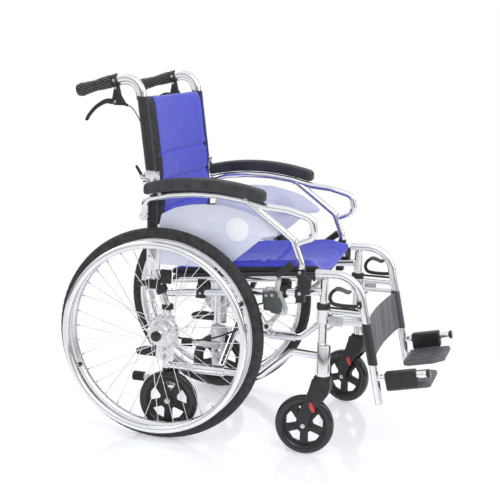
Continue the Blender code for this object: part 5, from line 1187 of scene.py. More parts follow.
# %% Brake levers, rollers and covers
BRAKE_PIVOT = (-0.302, 0.398)
SHOE_PIVOT = (-0.322, 0.372)
CARRIER_IN = 0.2301
CARRIER_OUT = 0.2361
LEVER_IN, LEVER_OUT = 0.2364, 0.2408
SHOE_IN, SHOE_OUT = 0.2411, 0.2455
COVER_X = 0.2492
BRAKE_GRIP_X = 0.270
COVER_SCREWS = ((-0.2816, 0.4098), (-0.2972, 0.4113))
ROLLER_PLACE = (-(WHEEL_RADIUS + 0.015) * cos(radians(10.2)),
                WHEEL_RADIUS + (WHEEL_RADIUS + 0.015) * sin(radians(10.2)))
for label, side in SIDES:
    body = f"{label}_frame"
    outline = softened([(-0.334, 0.358), (-0.312, 0.358), (-0.268, 0.386), (-0.268, 0.424), (-0.316, 0.424),
                        (-0.336, 0.378)], 0.005)
    carrier = side_plate(side, CARRIER_IN, CARRIER_OUT, [outline], 0.0008)
    pins = [across(side, CARRIER_OUT - 0.001, LEVER_OUT + 0.0016, BRAKE_PIVOT, 0.0035),
            across(side, CARRIER_OUT - 0.001, SHOE_OUT + 0.0016, SHOE_PIVOT, 0.0035)]
    nuts = hex_bolt(side, LEVER_OUT + 0.0003, BRAKE_PIVOT, 0.0058)
    nuts += hex_bolt(side, SHOE_OUT + 0.0003, SHOE_PIVOT, 0.0052)
    clamp = band(0.0099, 0.0136, -0.010, 0.010, (0.0008, 0.0012), 36,
                 (side * FRAME_X, -0.284, frame_rail_z(-0.284)), (0, -1, RAIL_RISE))
    dress(f"{label}_brake_carrier", body, steel, carrier, *pins, *nuts, clamp)
    cover_points = [(-0.2727, 0.4174), (-0.3043, 0.4204), (-0.3240, 0.3850), (-0.3249, 0.3709),
                    (-0.3159, 0.3634), (-0.2971, 0.3655), (-0.2932, 0.3705), (-0.2763, 0.3710)]
    cover = plate([softened(cover_points, 0.0035)], side * COVER_X, 0.0011, 0.0006)
    crease = plate([softened([(-0.2750, 0.3856), (-0.3222, 0.3880), (-0.3226, 0.3862), (-0.2752, 0.3838)],
                             0.0006)],
                   side * 0.2505, 0.0004, 0.0002)
    post = across(side, CARRIER_OUT - 0.001, 0.2486, COVER_SCREWS[0], 0.0042)
    dress(f"{label}_brake_cover", body, cover_green, cover, crease, post)
    dress(f"{label}_cover_screws", body, steel, *(screw(side, 0.2503, place, 0.0040)
                                                  for place in COVER_SCREWS))
    outline = softened([(-0.310, 0.390), (-0.294, 0.390), (-0.305, 0.458), (-0.319, 0.458)], 0.005)
    bar = side_plate(side, LEVER_IN, LEVER_OUT, [outline, circle(BRAKE_PIVOT, 0.0040)], 0.0007)
    neck = tube(flowing([(side * 0.2386, -0.311, 0.447), (side * 0.2440, -0.3130, 0.4570),
                         (side * 0.2580, -0.3150, 0.4655), (side * 0.2700, -0.3170, 0.4720)], 6), 0.0052,
                20)
    dress(f"{label}_brake_lever", f"brake_lever_{label}", steel, bar, neck,
          stands_for=[f"parking_brake_lever_{label}"])
    knee = Vector((side * BRAKE_GRIP_X, -0.3125, 0.4682))
    tip = Vector((side * BRAKE_GRIP_X, -0.354, 0.501))
    out = (tip - knee).normalized()
    length = (tip - knee).length
    hand = [(0.0, 0.0), (0.0070, 0.0002), (0.0086, 0.0020), (0.0088, 0.010), (0.0095, length * 0.5),
            (0.0104, length - 0.008), (0.0104, length - 0.0035), (0.0088, length - 0.0008), (0.0, length)]
    dress(f"{label}_brake_grip", f"brake_lever_{label}", soft_grip, turned(hand, 40, knee, out))
    run = (Vector(ROLLER_PLACE) - Vector(SHOE_PIVOT)).normalized()
    wide = Vector((-run.y, run.x)) * 0.0065
    start = Vector(SHOE_PIVOT) - run * 0.0065
    end = Vector(ROLLER_PLACE) + run * 0.0022
    outline = [tuple(p) for p in (start - wide, end - wide, end + wide, start + wide)]
    arm = side_plate(side, SHOE_IN, SHOE_OUT, [softened(outline, 0.004), circle(SHOE_PIVOT, 0.0040)],
                     0.0007)
    dress(f"{label}_brake_arm", f"brake_shoe_{label}", steel, arm,
          across(side, SHOE_OUT - 0.001, 0.2772, ROLLER_PLACE, 0.0040),
          stands_for=[f"parking_brake_shoe_{label}"])
    roller = band(0.0042, 0.0100, side * 0.2458, side * 0.2760, (0.0012, side * 0.0012), 40,
                  (0.0, *ROLLER_PLACE), (1, 0, 0))
    dress(f"{label}_brake_roller", f"brake_shoe_{label}", roller_white, roller)
    dress(f"{label}_roller_cap", f"brake_shoe_{label}", moulded,
          across(side, 0.2754, 0.2782, ROLLER_PLACE, 0.0060, 32, 0.0008))

# %% [markdown]
# ## Brake cables
#
# A thin black cable runs on each side from the drum brake in the hub to the frame rail. It is
# held at both ends, so it is a smooth tube through the points of the solid's route. The cables
# of the helper's levers are made the same way.

# %% Brake cables
CABLE_X = FRAME_X + 0.004
CABLE_RADIUS = 0.0025
CABLE_ROUTE = ((0.0093, -0.0415, 0.2703), (0.0093, -0.0550, 0.2680), (0.0020, -0.0900, 0.2660),
               (0.0, -0.1400, 0.2780), (0.0, -0.1900, 0.3000), (0.0, -0.2350, 0.3280),
               (0.0, -0.2640, 0.3560))


def cable(name, body, finish, line, radius, stands_for=()):
    """A cable held at both ends, along a line of points."""
    piece = dress(name, body, finish, tube(line, radius, 16), stands_for=stands_for)
    path = [[p.x, p.y + AXLE_Y, p.z] for p in line]
    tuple(path[0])


for label, side in SIDES:
    line = flowing([Vector((side * (CABLE_X + x), y, z)) for x, y, z in CABLE_ROUTE], 8)
    cable(f"{label}_brake_cable", f"{label}_frame", moulded, line, CABLE_RADIUS, [f"brake_cable_{label}"])

# %% [markdown]
# ## Folding canes
#
# Half-way up, each back cane has a cast joint. A black finger lever behind it draws the bolt,
# and the upper half drops backward so that the chair fits a car's boot. The upper tube rises to
# the shoulder and bends back into the push handle.

# %% Canes, joints and release levers
HINGE = (0.060, 0.676)
CANE_TUBE = 0.0110
JOINT_HALF = 0.0130
EAR = 0.0100
EAR_X = 0.0090
ARM_PIVOT = (0.056, 0.590)
RELEASE_PIVOT = (0.0735, 0.690)
UPPER_FOOT = (0.0485, 0.694)
UPPER_CORNER = (0.087, 0.958)
HANDLE_END = (0.252, 0.908)
HANDLE_BEND = 0.045
REAR_BEND_Z = 0.335


def joint_plate(side, points, soft, half, edge, shift=0.0):
    """A rounded plate of the folding joint, its points counted from the hinge."""
    return plate([softened(about(HINGE, points), soft)], side * (FRAME_X + shift), half, edge)


def handle_point(side, along, drop=0.0, x=FRAME_X):
    """A point on a push handle's axis, counted from the corner where its two lines meet."""
    corner = Vector((side * x, *UPPER_CORNER))
    run = (Vector((side * x, *HANDLE_END)) - corner).normalized()
    return corner + run * along + Vector((0, run.z, -run.y)) * drop


HANDLE_RUN = (handle_point(1, 1.0) - handle_point(1, 0.0)).normalized()
for label, side in SIDES:
    body = f"{label}_frame"
    lean = Vector((0.0, CANE_JOINT[0] - REAR_POST_Y, CANE_JOINT[1] - REAR_BEND_Z)).normalized()
    foot = Vector((side * FRAME_X, *CANE_JOINT)) + lean * GAP
    route = [foot, foot + lean * 0.028, (side * FRAME_X, 0.0430, 0.520), (side * FRAME_X, 0.044, 0.662)]
    lower = tube(rounded(route, 0.080), CANE_TUBE, 32)
    base = joint_plate(side, [(-0.030, -0.026), (-0.002, -0.026), (-0.002, -0.0112), (-0.0112, -0.0112),
                              (-0.0112, -0.0002), (-0.030, -0.0002)], 0.0012, JOINT_HALF, 0.0012)
    collar = joint_plate(side, [(-0.0295, -0.0330), (-0.0030, -0.0330), (-0.0030, -0.0255),
                                (-0.0295, -0.0255)],
                         0.0012, JOINT_HALF - 0.0012, 0.0010)
    ear_shape = [(EAR * cos(t), EAR * sin(t)) for t in (pi * k / 20 for k in range(21))]
    ear_shape += [(-EAR + 0.001, -0.022), (0.003, -0.022)]
    ears = [plate([about(HINGE, ear_shape)], side * (FRAME_X + out * EAR_X), 0.0036, 0.0008)
            for out in (-1, 1)]
    bolt = across(side, FRAME_X - 0.0135, FRAME_X + 0.0135, HINGE, 0.0030)
    bolt_head = across(side, FRAME_X + 0.0127, FRAME_X + 0.0136, HINGE, 0.0062, 32, edge=0.0003)
    arm_pin = across(side, FRAME_X, 0.2598, ARM_PIVOT, 0.0050)
    arm_head = turned([(0.0, 0.2598), (0.0052, 0.2596), (0.0076, 0.2584), (0.0080, 0.2572),
                       (0.0080, 0.2556), (0.0, 0.2556)], 40, (0, *ARM_PIVOT), (side, 0, 0))
    dress(f"{label}_lower_cane", body, alloy, lower, base, collar, *ears, bolt, bolt_head, arm_pin,
          arm_head, stands_for=[f"lower_cane_{label}"])
    body = f"back_top_{label}"
    route = [(side * FRAME_X, *UPPER_FOOT), (side * FRAME_X, *UPPER_CORNER), (side * FRAME_X, *HANDLE_END)]
    upper = tube(rounded(route, HANDLE_BEND, 20), CANE_TUBE, 32)
    cap = joint_plate(side, [(-0.030, 0.0002), (-0.0112, 0.0002), (-0.0112, 0.0112), (0.0060, 0.0112),
                             (0.0060, 0.030), (-0.030, 0.030)], 0.0014, JOINT_HALF, 0.0014)
    cheek_shape = [(0.0, 0.0112), (0.0180, 0.0112), (0.0170, 0.0185), (0.0, 0.0240)]
    cheeks = [joint_plate(side, cheek_shape, 0.0012, 0.0040, 0.0007, out * EAR_X) for out in (-1, 1)]
    ribs = [joint_plate(side, [(-0.0275, 0.0040 + k * 0.0058), (0.0036, 0.0148 + k * 0.0040),
                               (0.0036, 0.0165 + k * 0.0040), (-0.0275, 0.0057 + k * 0.0058)],
                        0.0005, JOINT_HALF + 0.0005, 0.0004) for k in range(4)]
    tongue_shape = [(EAR * cos(t), EAR * sin(t)) for t in (-pi + pi * k / 20 for k in range(21))]
    tongue = plate([about(HINGE, tongue_shape + [(0.005, 0.020), (-0.0095, 0.020)])], side * FRAME_X,
                   0.0047, 0.0005)
    pin = across(side, FRAME_X - 0.0127, FRAME_X + 0.0127, RELEASE_PIVOT, 0.0015)
    dress(f"{label}_upper_cane", body, alloy, upper, cap, *cheeks, *ribs, tongue, pin,
          stands_for=[f"upper_cane_{label}"])
    lever = joint_plate(side, [(0.0115, 0.0075), (0.0172, 0.0075), (0.0212, 0.0185), (0.0345, 0.0405),
                               (0.0310, 0.0435), (0.0165, 0.0225), (0.0100, 0.0135)], 0.0018, 0.0044,
                        0.0010)
    dress(f"{label}_release_lever", f"release_lever_{label}", moulded, lever,
          stands_for=[f"release_lever_{label}"])

# %% [markdown]
# ## Push grips and the helper's brake levers
#
# The grip is moulded rubber with rows of small raised beads, pinched at the middle where the
# fingers close. In front of it a black clamp carries a bicycle-type lever; its cable leaves the
# barrel and runs down into the back's sleeve. A second, silver-grey housing follows the bend of the tube.

# %% Grips, clamps, levers and their cables
GRIP_START = 0.0765
GRIP_END = 0.1804
LEVER_PIVOT = (0.152, 0.882)
LEVER_RUN = about(LEVER_PIVOT, ((-0.005, -0.0005), (0.012, 0.0), (0.030, -0.001), (0.055, -0.016),
                                (0.073, -0.035), (0.082, -0.050)))
LEVER_WIDTHS = (0.0055, 0.0072, 0.0060, 0.0046, 0.0042, 0.0040)
GRIP_WAIST = ((0.0, 0.0146), (0.02, 0.0158), (0.09, 0.0170), (0.27, 0.0163), (0.50, 0.0143), (0.72, 0.0158),
              (0.88, 0.0176), (0.97, 0.0160), (1.0, 0.0140))


def waist(share):
    """The grip's radius at a share of its length, eased between the measured places."""
    for (a, low), (b, high) in zip(GRIP_WAIST, GRIP_WAIST[1:]):
        if share <= b:
            t = (share - a) / (b - a)
            return low + (high - low) * t * t * (3 - 2 * t)
    return GRIP_WAIST[-1][1]


BEADS_ROUND, BEAD_ROWS = 12, 17


def bead_level(turn, share):
    """How high the skin stands at a place of the grip: 1 on top of a bead, 0 between them."""
    shifted = pi * (round(share * BEAD_ROWS) % 2)
    return max(0.0, cos(turn * BEADS_ROUND + shifted)) * max(0.0, cos(2 * pi * share * BEAD_ROWS))


def beaded_grip(side):
    """A waisted grip whose skin carries staggered rows of raised beads, their tops painted a lighter grey
    as highlight.
    """
    around, rows = 96, 150
    length = GRIP_END - GRIP_START
    start = handle_point(side, GRIP_START)
    right = Vector((1, 0, 0))
    up = HANDLE_RUN.cross(right)
    rings = []
    for k in range(rows + 1):
        share = k / rows
        fade = min(1.0, max(0.0, min(share - 0.05, 0.95 - share) * 40))
        ring = []
        for j in range(around):
            turn = 2 * pi * j / around
            radius = waist(share) + 0.0014 * (bead_level(turn, share) - 0.25) * fade
            ring.append(start + HANDLE_RUN * share * length + (right * cos(turn) + up * sin(turn)) * radius)
        rings.append(ring)
    made = lofted(rings)
    for face in made.data.polygons[:rows * around]:
        k, j = divmod(face.index, around)
        share = (k + 0.5) / rows
        # faces on a bead's top take the second finish, a painted highlight
        bead_highlit = bead_level(2 * pi * (j + 0.5) / around, share) > 0.45
        face.material_index = int(bead_highlit and 0.05 < share < 0.95)
    return made


def crossing(a, run_a, b, run_b):
    """Where two lines in one side plane meet."""
    slant = run_a.y * run_b.z - run_a.z * run_b.y
    return a + run_a * (((b.y - a.y) * run_b.z - (b.z - a.z) * run_b.y) / slant)


UPPER_RUN = Vector((0, UPPER_CORNER[0] - UPPER_FOOT[0], UPPER_CORNER[1] - UPPER_FOOT[1])).normalized()


def upper_cane_point(side, z, behind=0.0):
    """A place on the upper cane's axis at a height, or behind it."""
    y = UPPER_FOOT[0] + UPPER_RUN.y / UPPER_RUN.z * (z - UPPER_FOOT[1]) + behind
    return Vector((side * FRAME_X, y, z))


for label, side in SIDES:
    body = f"back_top_{label}"
    grip = dress(f"{label}_push_grip", body, soft_grip, beaded_grip(side),
                 stands_for=[f"push_grip_{label}"])
    # the second finish paints highlights on the bead tops
    grip.data.materials.append(painted_bead_highlight.material)
    clamp_mid = handle_point(side, GRIP_START - 0.0070)
    collar = turned([(0.0112, -0.0070), (0.0152, -0.0070), (0.0165, -0.0056), (0.0165, 0.0054),
                     (0.0152, 0.0067), (0.0112, 0.0067)], 48, clamp_mid, HANDLE_RUN, closed=True)
    neck = about(clamp_mid.yz, ((-0.007, -0.008), (0.006, -0.008), (0.003, -0.024)))
    neck += about(LEVER_PIVOT, ((0.009, 0.004), (0.004, -0.009), (-0.022, -0.009), (-0.026, -0.003),
                                (-0.013, 0.016)))
    cheeks = [plate([softened(neck, 0.003)], side * (FRAME_X + out * 0.0061), 0.0014, 0.0006)
              for out in (-1, 1)]
    web_shape = neck[:3] + about(LEVER_PIVOT, [(-0.004, 0.013)]) + neck[7:]
    web_low = about(LEVER_PIVOT, ((-0.011, 0.014), (-0.011, -0.008), (-0.022, -0.008), (-0.026, -0.003)))
    webs = [plate([softened(shape, 0.0015)], side * FRAME_X, 0.0062, 0.0008)
            for shape in (web_shape, web_low)]
    pin = across(side, FRAME_X - 0.0085, FRAME_X + 0.0085, LEVER_PIVOT, 0.0025)
    barrel_at = Vector((side * FRAME_X, LEVER_PIVOT[0] - 0.0235, LEVER_PIVOT[1] - 0.0050))
    barrel_out = Vector((0, -0.93, -0.36)).normalized()
    barrel = turned([(0.0, -0.003), (0.0044, -0.003), (0.0044, 0.0035), (0.0036, 0.0042), (0.0036, 0.0100),
                     (0.0028, 0.0110), (0.0, 0.0110)], 28, barrel_at, barrel_out)
    dress(f"{label}_lever_bracket", body, moulded, collar, *cheeks, *webs, barrel,
          stands_for=[f"lever_bracket_{label}"])
    heads = [screw(out, FRAME_X * side * out + 0.0074, place, 0.0040)
             for out in (1, -1) for place in ((clamp_mid.y - 0.0010, clamp_mid.z - 0.0205), LEVER_PIVOT)]
    heads += [screw(out, FRAME_X * side * out + 0.0160, (clamp_mid.y, clamp_mid.z - 0.0010), 0.0040)
              for out in (1, -1)]
    dress(f"{label}_lever_screws", body, steel, pin, *heads)
    lever = plate([ribbon(LEVER_RUN, LEVER_WIDTHS), circle(LEVER_PIVOT, 0.0028)], side * FRAME_X, 0.0044,
                  0.0018)
    dress(f"{label}_attendant_lever", f"attendant_lever_{label}", soft_grip, lever,
          stands_for=[f"attendant_lever_{label}"])
    end = barrel_at + barrel_out * 0.0100
    wire = flowing([end, end + barrel_out * 0.010, end + Vector((0, -0.0205, -0.0150)),
                    upper_cane_point(side, end.z - 0.034, 0.0165),
                    upper_cane_point(side, end.z - 0.050, 0.0135),
                    upper_cane_point(side, end.z - 0.080, 0.0120)], 8)
    under = handle_point(side, GRIP_START - 0.0120, 0.0155)
    low_end = upper_cane_point(side, 0.8880, 0.0160)
    housing = tube(rounded([under, crossing(under, HANDLE_RUN, low_end, UPPER_RUN), low_end], 0.0300, 14),
                   0.0017, 12)
    dress(f"{label}_cable_housing", body, steel, housing)
    cable(f"{label}_lever_cable", body, gloss_black, wire, 0.0014)

# %% [markdown]
# ## Armrests
#
# Each armrest is one bent tube: it starts at an eye on the cane, runs under the pad, and turns
# in a loop at the front, where a hand takes it to flip it up. A leg comes down from a welded
# joint into a black latch on the frame. A frosted plastic guard keeps clothes off the wheel.

# %% Armrest tubes, latches, pads and guards
ARM_X = 0.246
ARM_TUBE = 0.0093
PAD_X, PAD_HALF, PAD_THICK = 0.259, 0.0215, 0.016
PAD_REAR, PAD_FRONT = 0.050, -0.272
PAD_END_Z, PAD_RISE = 0.664, 0.022
LATCH = (-0.370, 0.4338, 0.4820)
GUARD_X = 0.2351
DISC_PLACE = (-0.194, 0.572)
DISC_RADIUS = 0.0315


def pad_line(share):
    """The middle of the pad's thickness at a share of its length, rear to front."""
    return Vector((PAD_REAR + (PAD_FRONT - PAD_REAR) * share,
                   PAD_END_Z + PAD_RISE * 4 * share * (1 - share)))


def bar_line(share):
    """The axis of the tube that runs just under the pad."""
    steepest = 4 * PAD_RISE / (PAD_REAR - PAD_FRONT)
    y, z = pad_line(share)
    return Vector((y, z - PAD_THICK - GAP - ARM_TUBE * hypot(1, steepest)))


def arm_pad(side):
    """A skin over foam: flat underneath, crowned on top, with full round edges."""
    around, rows = 40, 90
    power = 0.36
    rings = []
    for k in range(rows + 1):
        share = k / rows
        from_end = min(share, 1 - share) * (PAD_REAR - PAD_FRONT)
        close = min(1.0, (from_end / 0.0095) ** 0.5) if 0 < share < 1 else 0.0
        y, z = pad_line(share)
        ring = []
        for j in range(around):
            turn = 2 * pi * j / around
            wide, tall = cos(turn), sin(turn)
            x = PAD_HALF * abs(wide) ** power * (1 if wide > 0 else -1)
            t = (PAD_THICK - 0.0006) * abs(tall) ** power * (1 if tall > 0 else -1)
            swell = 0.0012 * (1 - (x / PAD_HALF) ** 2) if tall > 0 else 0.0
            x *= 0.72 + 0.28 * close
            t = (t + swell - 0.0008) * (0.62 + 0.38 * close)
            ring.append((side * (PAD_X + x), y, z + t))
        rings.append(ring if side > 0 else ring[::-1])
    return lofted(rings)


def guard_edge():
    """The guard's outline: a low arch on top, and a slanting cut below in front."""
    points = [(0.016, 0.463), (0.020, 0.560), (0.013, 0.597), (-0.024, 0.6165), (-0.062, 0.6265),
              (-0.100, 0.6310),
              (-0.157, 0.6315), (-0.214, 0.6200), (-0.252, 0.6080), (-0.294, 0.5800), (-0.314, 0.5660),
              (-0.265, 0.5568), (-0.187, 0.4880), (-0.155, 0.4670)]
    return softened(points, 0.008, 8)


for label, side in SIDES:
    body = f"armrest_{label}"
    x = side * ARM_X
    bars = [bar_line(k / 5) for k in range(6)]
    route = [(x, 0.056, 0.5975), (x, 0.056, bars[0].y - 0.004)] + [(x, p.x, p.y) for p in bars[1:]]
    route += [(x, -0.330, 0.633), (x, -0.394, 0.616), (x, -0.402, 0.570), (x, -0.360, 0.552)]
    bends = [0.022] + [0.050] * 6 + [0.020] * 3
    main = tube(rounded(route, bends), ARM_TUBE, 32)
    branch = bar_line(0.85)
    leg = tube(rounded([(x, branch.x, branch.y), (x, -0.346, 0.560), (x, -0.370, 0.500),
                        (x, -0.370, 0.478)], 0.030),
               ARM_TUBE, 32)
    eye = across(side, ARM_X - ARM_TUBE, ARM_X + ARM_TUBE, ARM_PIVOT, 0.0118, 40)
    joints = [weld((x, branch.x - 0.0030, branch.y - 0.0060), Vector((0, -0.46, -0.89)), ARM_TUBE),
              weld((x, -0.3585, 0.5535), Vector((0, 0.9, -0.3)), ARM_TUBE)]
    dress(f"{label}_armrest_tube", body, alloy, main, leg, eye, *joints,
          stands_for=[f"armrest_frame_{label}"])
    latch = side_block(side, 0.2353, 0.2568, (-0.3970, LATCH[1] - 0.012), (-0.3640, LATCH[2] - 0.0175),
                       0.0035)
    neck = side_block(side, 0.2362, 0.2560, (-0.3820, LATCH[2] - 0.0200), (-0.3602, LATCH[2] + 0.0050),
                      0.0035)
    dress(f"{label}_arm_latch", body, moulded, latch, neck)
    dress(f"{label}_latch_screw", body, steel, screw(side, ARM_X + 0.0106, (LATCH[0] + 0.001, 0.4780),
                                                     0.0042))
    dress(f"{label}_arm_pad", body, pad_skin, arm_pad(side), stands_for=[f"arm_pad_{label}"], angle=60)
    ends = [across(side, PAD_X - 0.0058, PAD_X - 0.0001, tuple(bar_line(k) + Vector((0, 0.0040))), 0.0044)
            for k in (0.12, 0.84)]
    dress(f"{label}_pad_studs", body, steel, *ends)
    sheet = plate([guard_edge()], side * GUARD_X, 0.0013, 0.0006)
    dress(f"{label}_guard", body, frosted, sheet, stands_for=[f"side_guard_{label}"])
    badge = turned([(0.0, 0.2376), (DISC_RADIUS - 0.0009, 0.2376), (DISC_RADIUS, 0.2372),
                    (DISC_RADIUS, 0.2364), (0.0, 0.2364)], 72,
                   (0, *DISC_PLACE), (side, 0, 0))
    dress(f"{label}_guard_disc", body, badge_white, badge)

# %% [markdown]
# ## Leg rests
#
# Each hanger hooks over the front post, hangs on a collar below and swings away when its hooked
# black lever is pressed. The foot end carries the folding footplate on a long black sleeve. A
# nylon strap between the two tubes stops the feet from slipping back.

# %% Hangers, release levers and footplates
HANGER_ROUTE = ((-0.404, 0.4725), (-0.512, 0.4765), (-0.583, 0.150))
LEG_LEVER_PIVOT = (-0.5215, 0.402)
LEG_LEVER_X = 0.2343
FOOT_HINGE = (-0.5745, 0.2145)
FOOT_LONG = Vector((0.0, -0.9782, 0.2079))
FOOT_UP = Vector((0.0, 0.2079, 0.9782))
HOOK_RUN = ((-0.5240, 0.4015), (-0.5050, 0.3990), (-0.4780, 0.3985), (-0.4560, 0.4010), (-0.4475, 0.4090),
            (-0.4460, 0.4200), (-0.4510, 0.4310), (-0.4600, 0.4385), (-0.4680, 0.4400))
HOOK_WIDTHS = (0.0042, 0.0046, 0.0046, 0.0046, 0.0045, 0.0045, 0.0045, 0.0044, 0.0040)
TAB_RUN = ((-0.4630, 0.4412), (-0.4720, 0.4405), (-0.4820, 0.4375), (-0.4905, 0.4345), (-0.4965, 0.4360))


def foot_point(side, along, up=0.0, inward=0.0):
    """A place on a footplate: along its hinge tube, above it, and in toward the other foot."""
    return Vector((side * (FRAME_X - inward), *FOOT_HINGE)) + FOOT_LONG * along + FOOT_UP * up


def foot_box(side, across_span, along_span, up_span, edge):
    """A block lying along the footplate's own directions, given by its spans."""
    low = (across_span[0], along_span[0], up_span[0])
    high = (across_span[1], along_span[1], up_span[1])
    made = block(low, high, edge, 4)
    turn = Matrix((Vector((-side, 0, 0)), FOOT_LONG, FOOT_UP)).transposed()
    if turn.determinant() < 0:
        made.data.flip_normals()
    return moved(made, Matrix.Translation(foot_point(side, 0.0)) @ turn.to_4x4())


for label, side in SIDES:
    body = f"leg_rest_{label}"
    x = side * FRAME_X
    route = [(x, y, z) for y, z in HANGER_ROUTE]
    pipe = tube(rounded(route, 0.070, 20), CANE_TUBE, 36)
    peg = rod((x, POST_Y, 0.4405), (x, POST_Y, 0.4700), 0.0050, 24)
    struts = []
    for z in (0.352, 0.376):
        share = (z - HANGER_ROUTE[2][1]) / (HANGER_ROUTE[1][1] - HANGER_ROUTE[2][1])
        front = HANGER_ROUTE[2][0] + (HANGER_ROUTE[1][0] - HANGER_ROUTE[2][0]) * share
        struts.append(rod((x, -0.441, z), (x, front, z), 0.0065, 28))
        struts.append(weld((x, front + 0.0095, z), Vector((0, 1, 0)), 0.0065))
    collar = band(0.0117, 0.0170, -0.018, 0.018, (0.0010, 0.0012), 48, (x, POST_Y, 0.364), (0, 0, 1))
    hinge_tube = rod((x, *FOOT_HINGE), foot_point(side, 0.128), 0.0072, 28)
    stub = rod(foot_point(side, 0.1022), foot_point(side, 0.1275), 0.0090, 32, edge=0.0006)
    lug = rod(foot_point(side, 0.008), foot_point(side, 0.0215), 0.0098, 32, edge=0.0010)
    end_cap = rod((x, -0.5825, 0.1523), (x, -0.5832, 0.1490), CANE_TUBE * 0.97, 32, edge=0.0010)
    dress(f"{label}_hanger", body, alloy, pipe, peg, *struts, collar, hinge_tube, stub, lug,
          stands_for=[f"hanger_{label}"])
    dress(f"{label}_tube_plug", body, moulded, end_cap)
    stem = turned([(0.0, 0.1270), (0.0066, 0.1272), (0.0100, 0.1295), (0.0122, 0.1322), (0.0126, 0.1345),
                   (0.0118, 0.1366), (0.0080, 0.1378), (0.0, 0.1380)], 40, (x, *FOOT_HINGE), FOOT_LONG)
    dress(f"{label}_foot_knob", body, gloss_black, stem)
    clamp = band(0.0117, 0.0178, 0.3835, 0.3970, (0.0008, 0.0010), 40, (x, POST_Y, 0), (0, 0, 1))
    guide = side_block(side, FITTING_X, 0.2330, (-0.519, 0.3870), (-0.440, 0.3925), 0.0012)
    strap_tail = plate([softened([(-0.466, 0.3530), (-0.478, 0.3600), (-0.446, 0.3290), (-0.438, 0.3330)],
                                 0.0012)],
                       side * 0.2345, 0.0010, 0.0004)
    dress(f"{label}_hanger_clamp", body, moulded, clamp, guide)
    dress(f"{label}_hanger_catch", body, steel, strap_tail,
          side_block(side, FITTING_X, 0.2372, (-0.480, 0.3440), (-0.446, 0.3665), 0.0015),
          screw(side, 0.2371, (-0.4700, 0.3560), 0.0034))
    hook = plate([ribbon(HOOK_RUN, HOOK_WIDTHS, 5)], side * LEG_LEVER_X, 0.0029, 0.0010)
    nose = plate([ribbon(((-0.5230, 0.3990), (-0.5215, 0.4040), (-0.5205, 0.4085)),
                         (0.0050, 0.0060, 0.0048), 4)],
                 side * LEG_LEVER_X, 0.0029, 0.0008)
    dress(f"{label}_leg_lever", f"leg_rest_lever_{label}", moulded, hook, nose,
          stands_for=[f"hanger_lever_{label}"])
    tab = plate([ribbon(TAB_RUN, (0.0050, 0.0056, 0.0050, 0.0052, 0.0042), 5)], side * LEG_LEVER_X, 0.0034,
                0.0014)
    dress(f"{label}_lever_tab", f"leg_rest_lever_{label}", grey_plastic, tab)
    dress(f"{label}_lever_bolt", body, steel, across(side, 0.2270, 0.2378, LEG_LEVER_PIVOT, 0.0030, 24,
                                                     edge=0.0004))
    foot_body = f"foot_rest_{label}"
    shell = foot_box(side, (-0.015, 0.015), (0.022, 0.102), (-0.030, 0.015), 0.0060)
    dress(f"{label}_foot_sleeve", foot_body, moulded, shell, stands_for=[f"footplate_sleeve_{label}"],
          angle=50)

# %% [markdown]
# The footplate is a moulded tray with lengthwise grooves for grip; its corners are cut so that
# the castors can swing past it.

# %% Footplate trays
FOOT_DROP = 0.028
FOOT_THICK = 0.012
RIBS = 11
for label, side in SIDES:
    edge, inner, rear, front = 0.0153, 0.170, 0.016, 0.130
    outline = [(edge, rear), (inner - 0.012, rear), (inner, rear + 0.012), (inner, front - 0.030),
               (inner - 0.022, front), (edge + 0.006, front), (edge, front - 0.006)]
    outline = softened(outline, 0.0075, 8)
    middle = Vector(((edge + inner) / 2, (rear + front) / 2))
    rings = []
    for up, shrink in ((-FOOT_THICK, 0.0022), (-FOOT_THICK + 0.0016, 0.0), (-0.0016, 0.0),
                       (-0.0004, 0.0010), (0.0, 0.0024)):
        places = [Vector(point) - (Vector(point) - middle).normalized() * shrink for point in outline]
        rings.append([foot_point(side, place.y, up - FOOT_DROP, place.x) for place in places])
    tray = lofted(rings)
    treads = []
    for k in range(RIBS):
        along = rear + 0.014 + k * (front - rear - 0.030) / (RIBS - 1)
        reach = inner - 0.012 - max(0.0, along - (front - 0.040)) * 0.7
        treads.append(foot_box(side, (edge + 0.008, reach), (along - 0.0026, along + 0.0026),
                               (-FOOT_DROP - 0.0006, -FOOT_DROP + 0.0022), 0.0012))
    link = foot_box(side, (0.0100, 0.0260), (0.030, 0.096), (-0.0385, -0.0262), 0.0020)
    dress(f"{label}_footplate", f"foot_rest_{label}", grey_plastic, tray, *treads, link,
          stands_for=[f"footplate_{label}"])

# %% [markdown]
# ## Upholstery
#
# The seat is a black nylon sling between the rails with a thin blue cushion on it. The back is
# in two lengths, so that it can fold at the joint: blue padded panels in front, black gussets at
# the sides, and sleeves of the same black cloth pulled over the canes. Each pad starts as a
# slack closed shape and is swollen by a short cloth simulation; seams are pressed in afterwards.

# %% Helpers for padded pieces
PUFF_FRAMES = 20


def closed_sheet(place, columns, rows, name="shape"):
    """A closed soft shape from a rule that gives its lower and upper face at (u, v)."""
    bm = bmesh.new()
    grid = [[[bm.verts.new(place(c / columns, r / rows, face)) for c in range(columns + 1)]
             for r in range(rows + 1)] for face in (0, 1)]
    for face, flip in ((0, True), (1, False)):
        for r in range(rows):
            for c in range(columns):
                corners = [grid[face][r][c], grid[face][r][c + 1], grid[face][r + 1][c + 1],
                           grid[face][r + 1][c]]
                bm.faces.new(corners[::-1] if flip else corners)
    for r in range(rows):
        for c in (0, columns):
            corners = [grid[0][r][c], grid[0][r + 1][c], grid[1][r + 1][c], grid[1][r][c]]
            bm.faces.new(corners if c == 0 else corners[::-1])
    for c in range(columns):
        for r in (0, rows):
            corners = [grid[0][r][c], grid[1][r][c], grid[1][r][c + 1], grid[0][r][c + 1]]
            bm.faces.new(corners if r == 0 else corners[::-1])
    bmesh.ops.recalc_face_normals(bm, faces=bm.faces)
    return from_bmesh(bm, name)


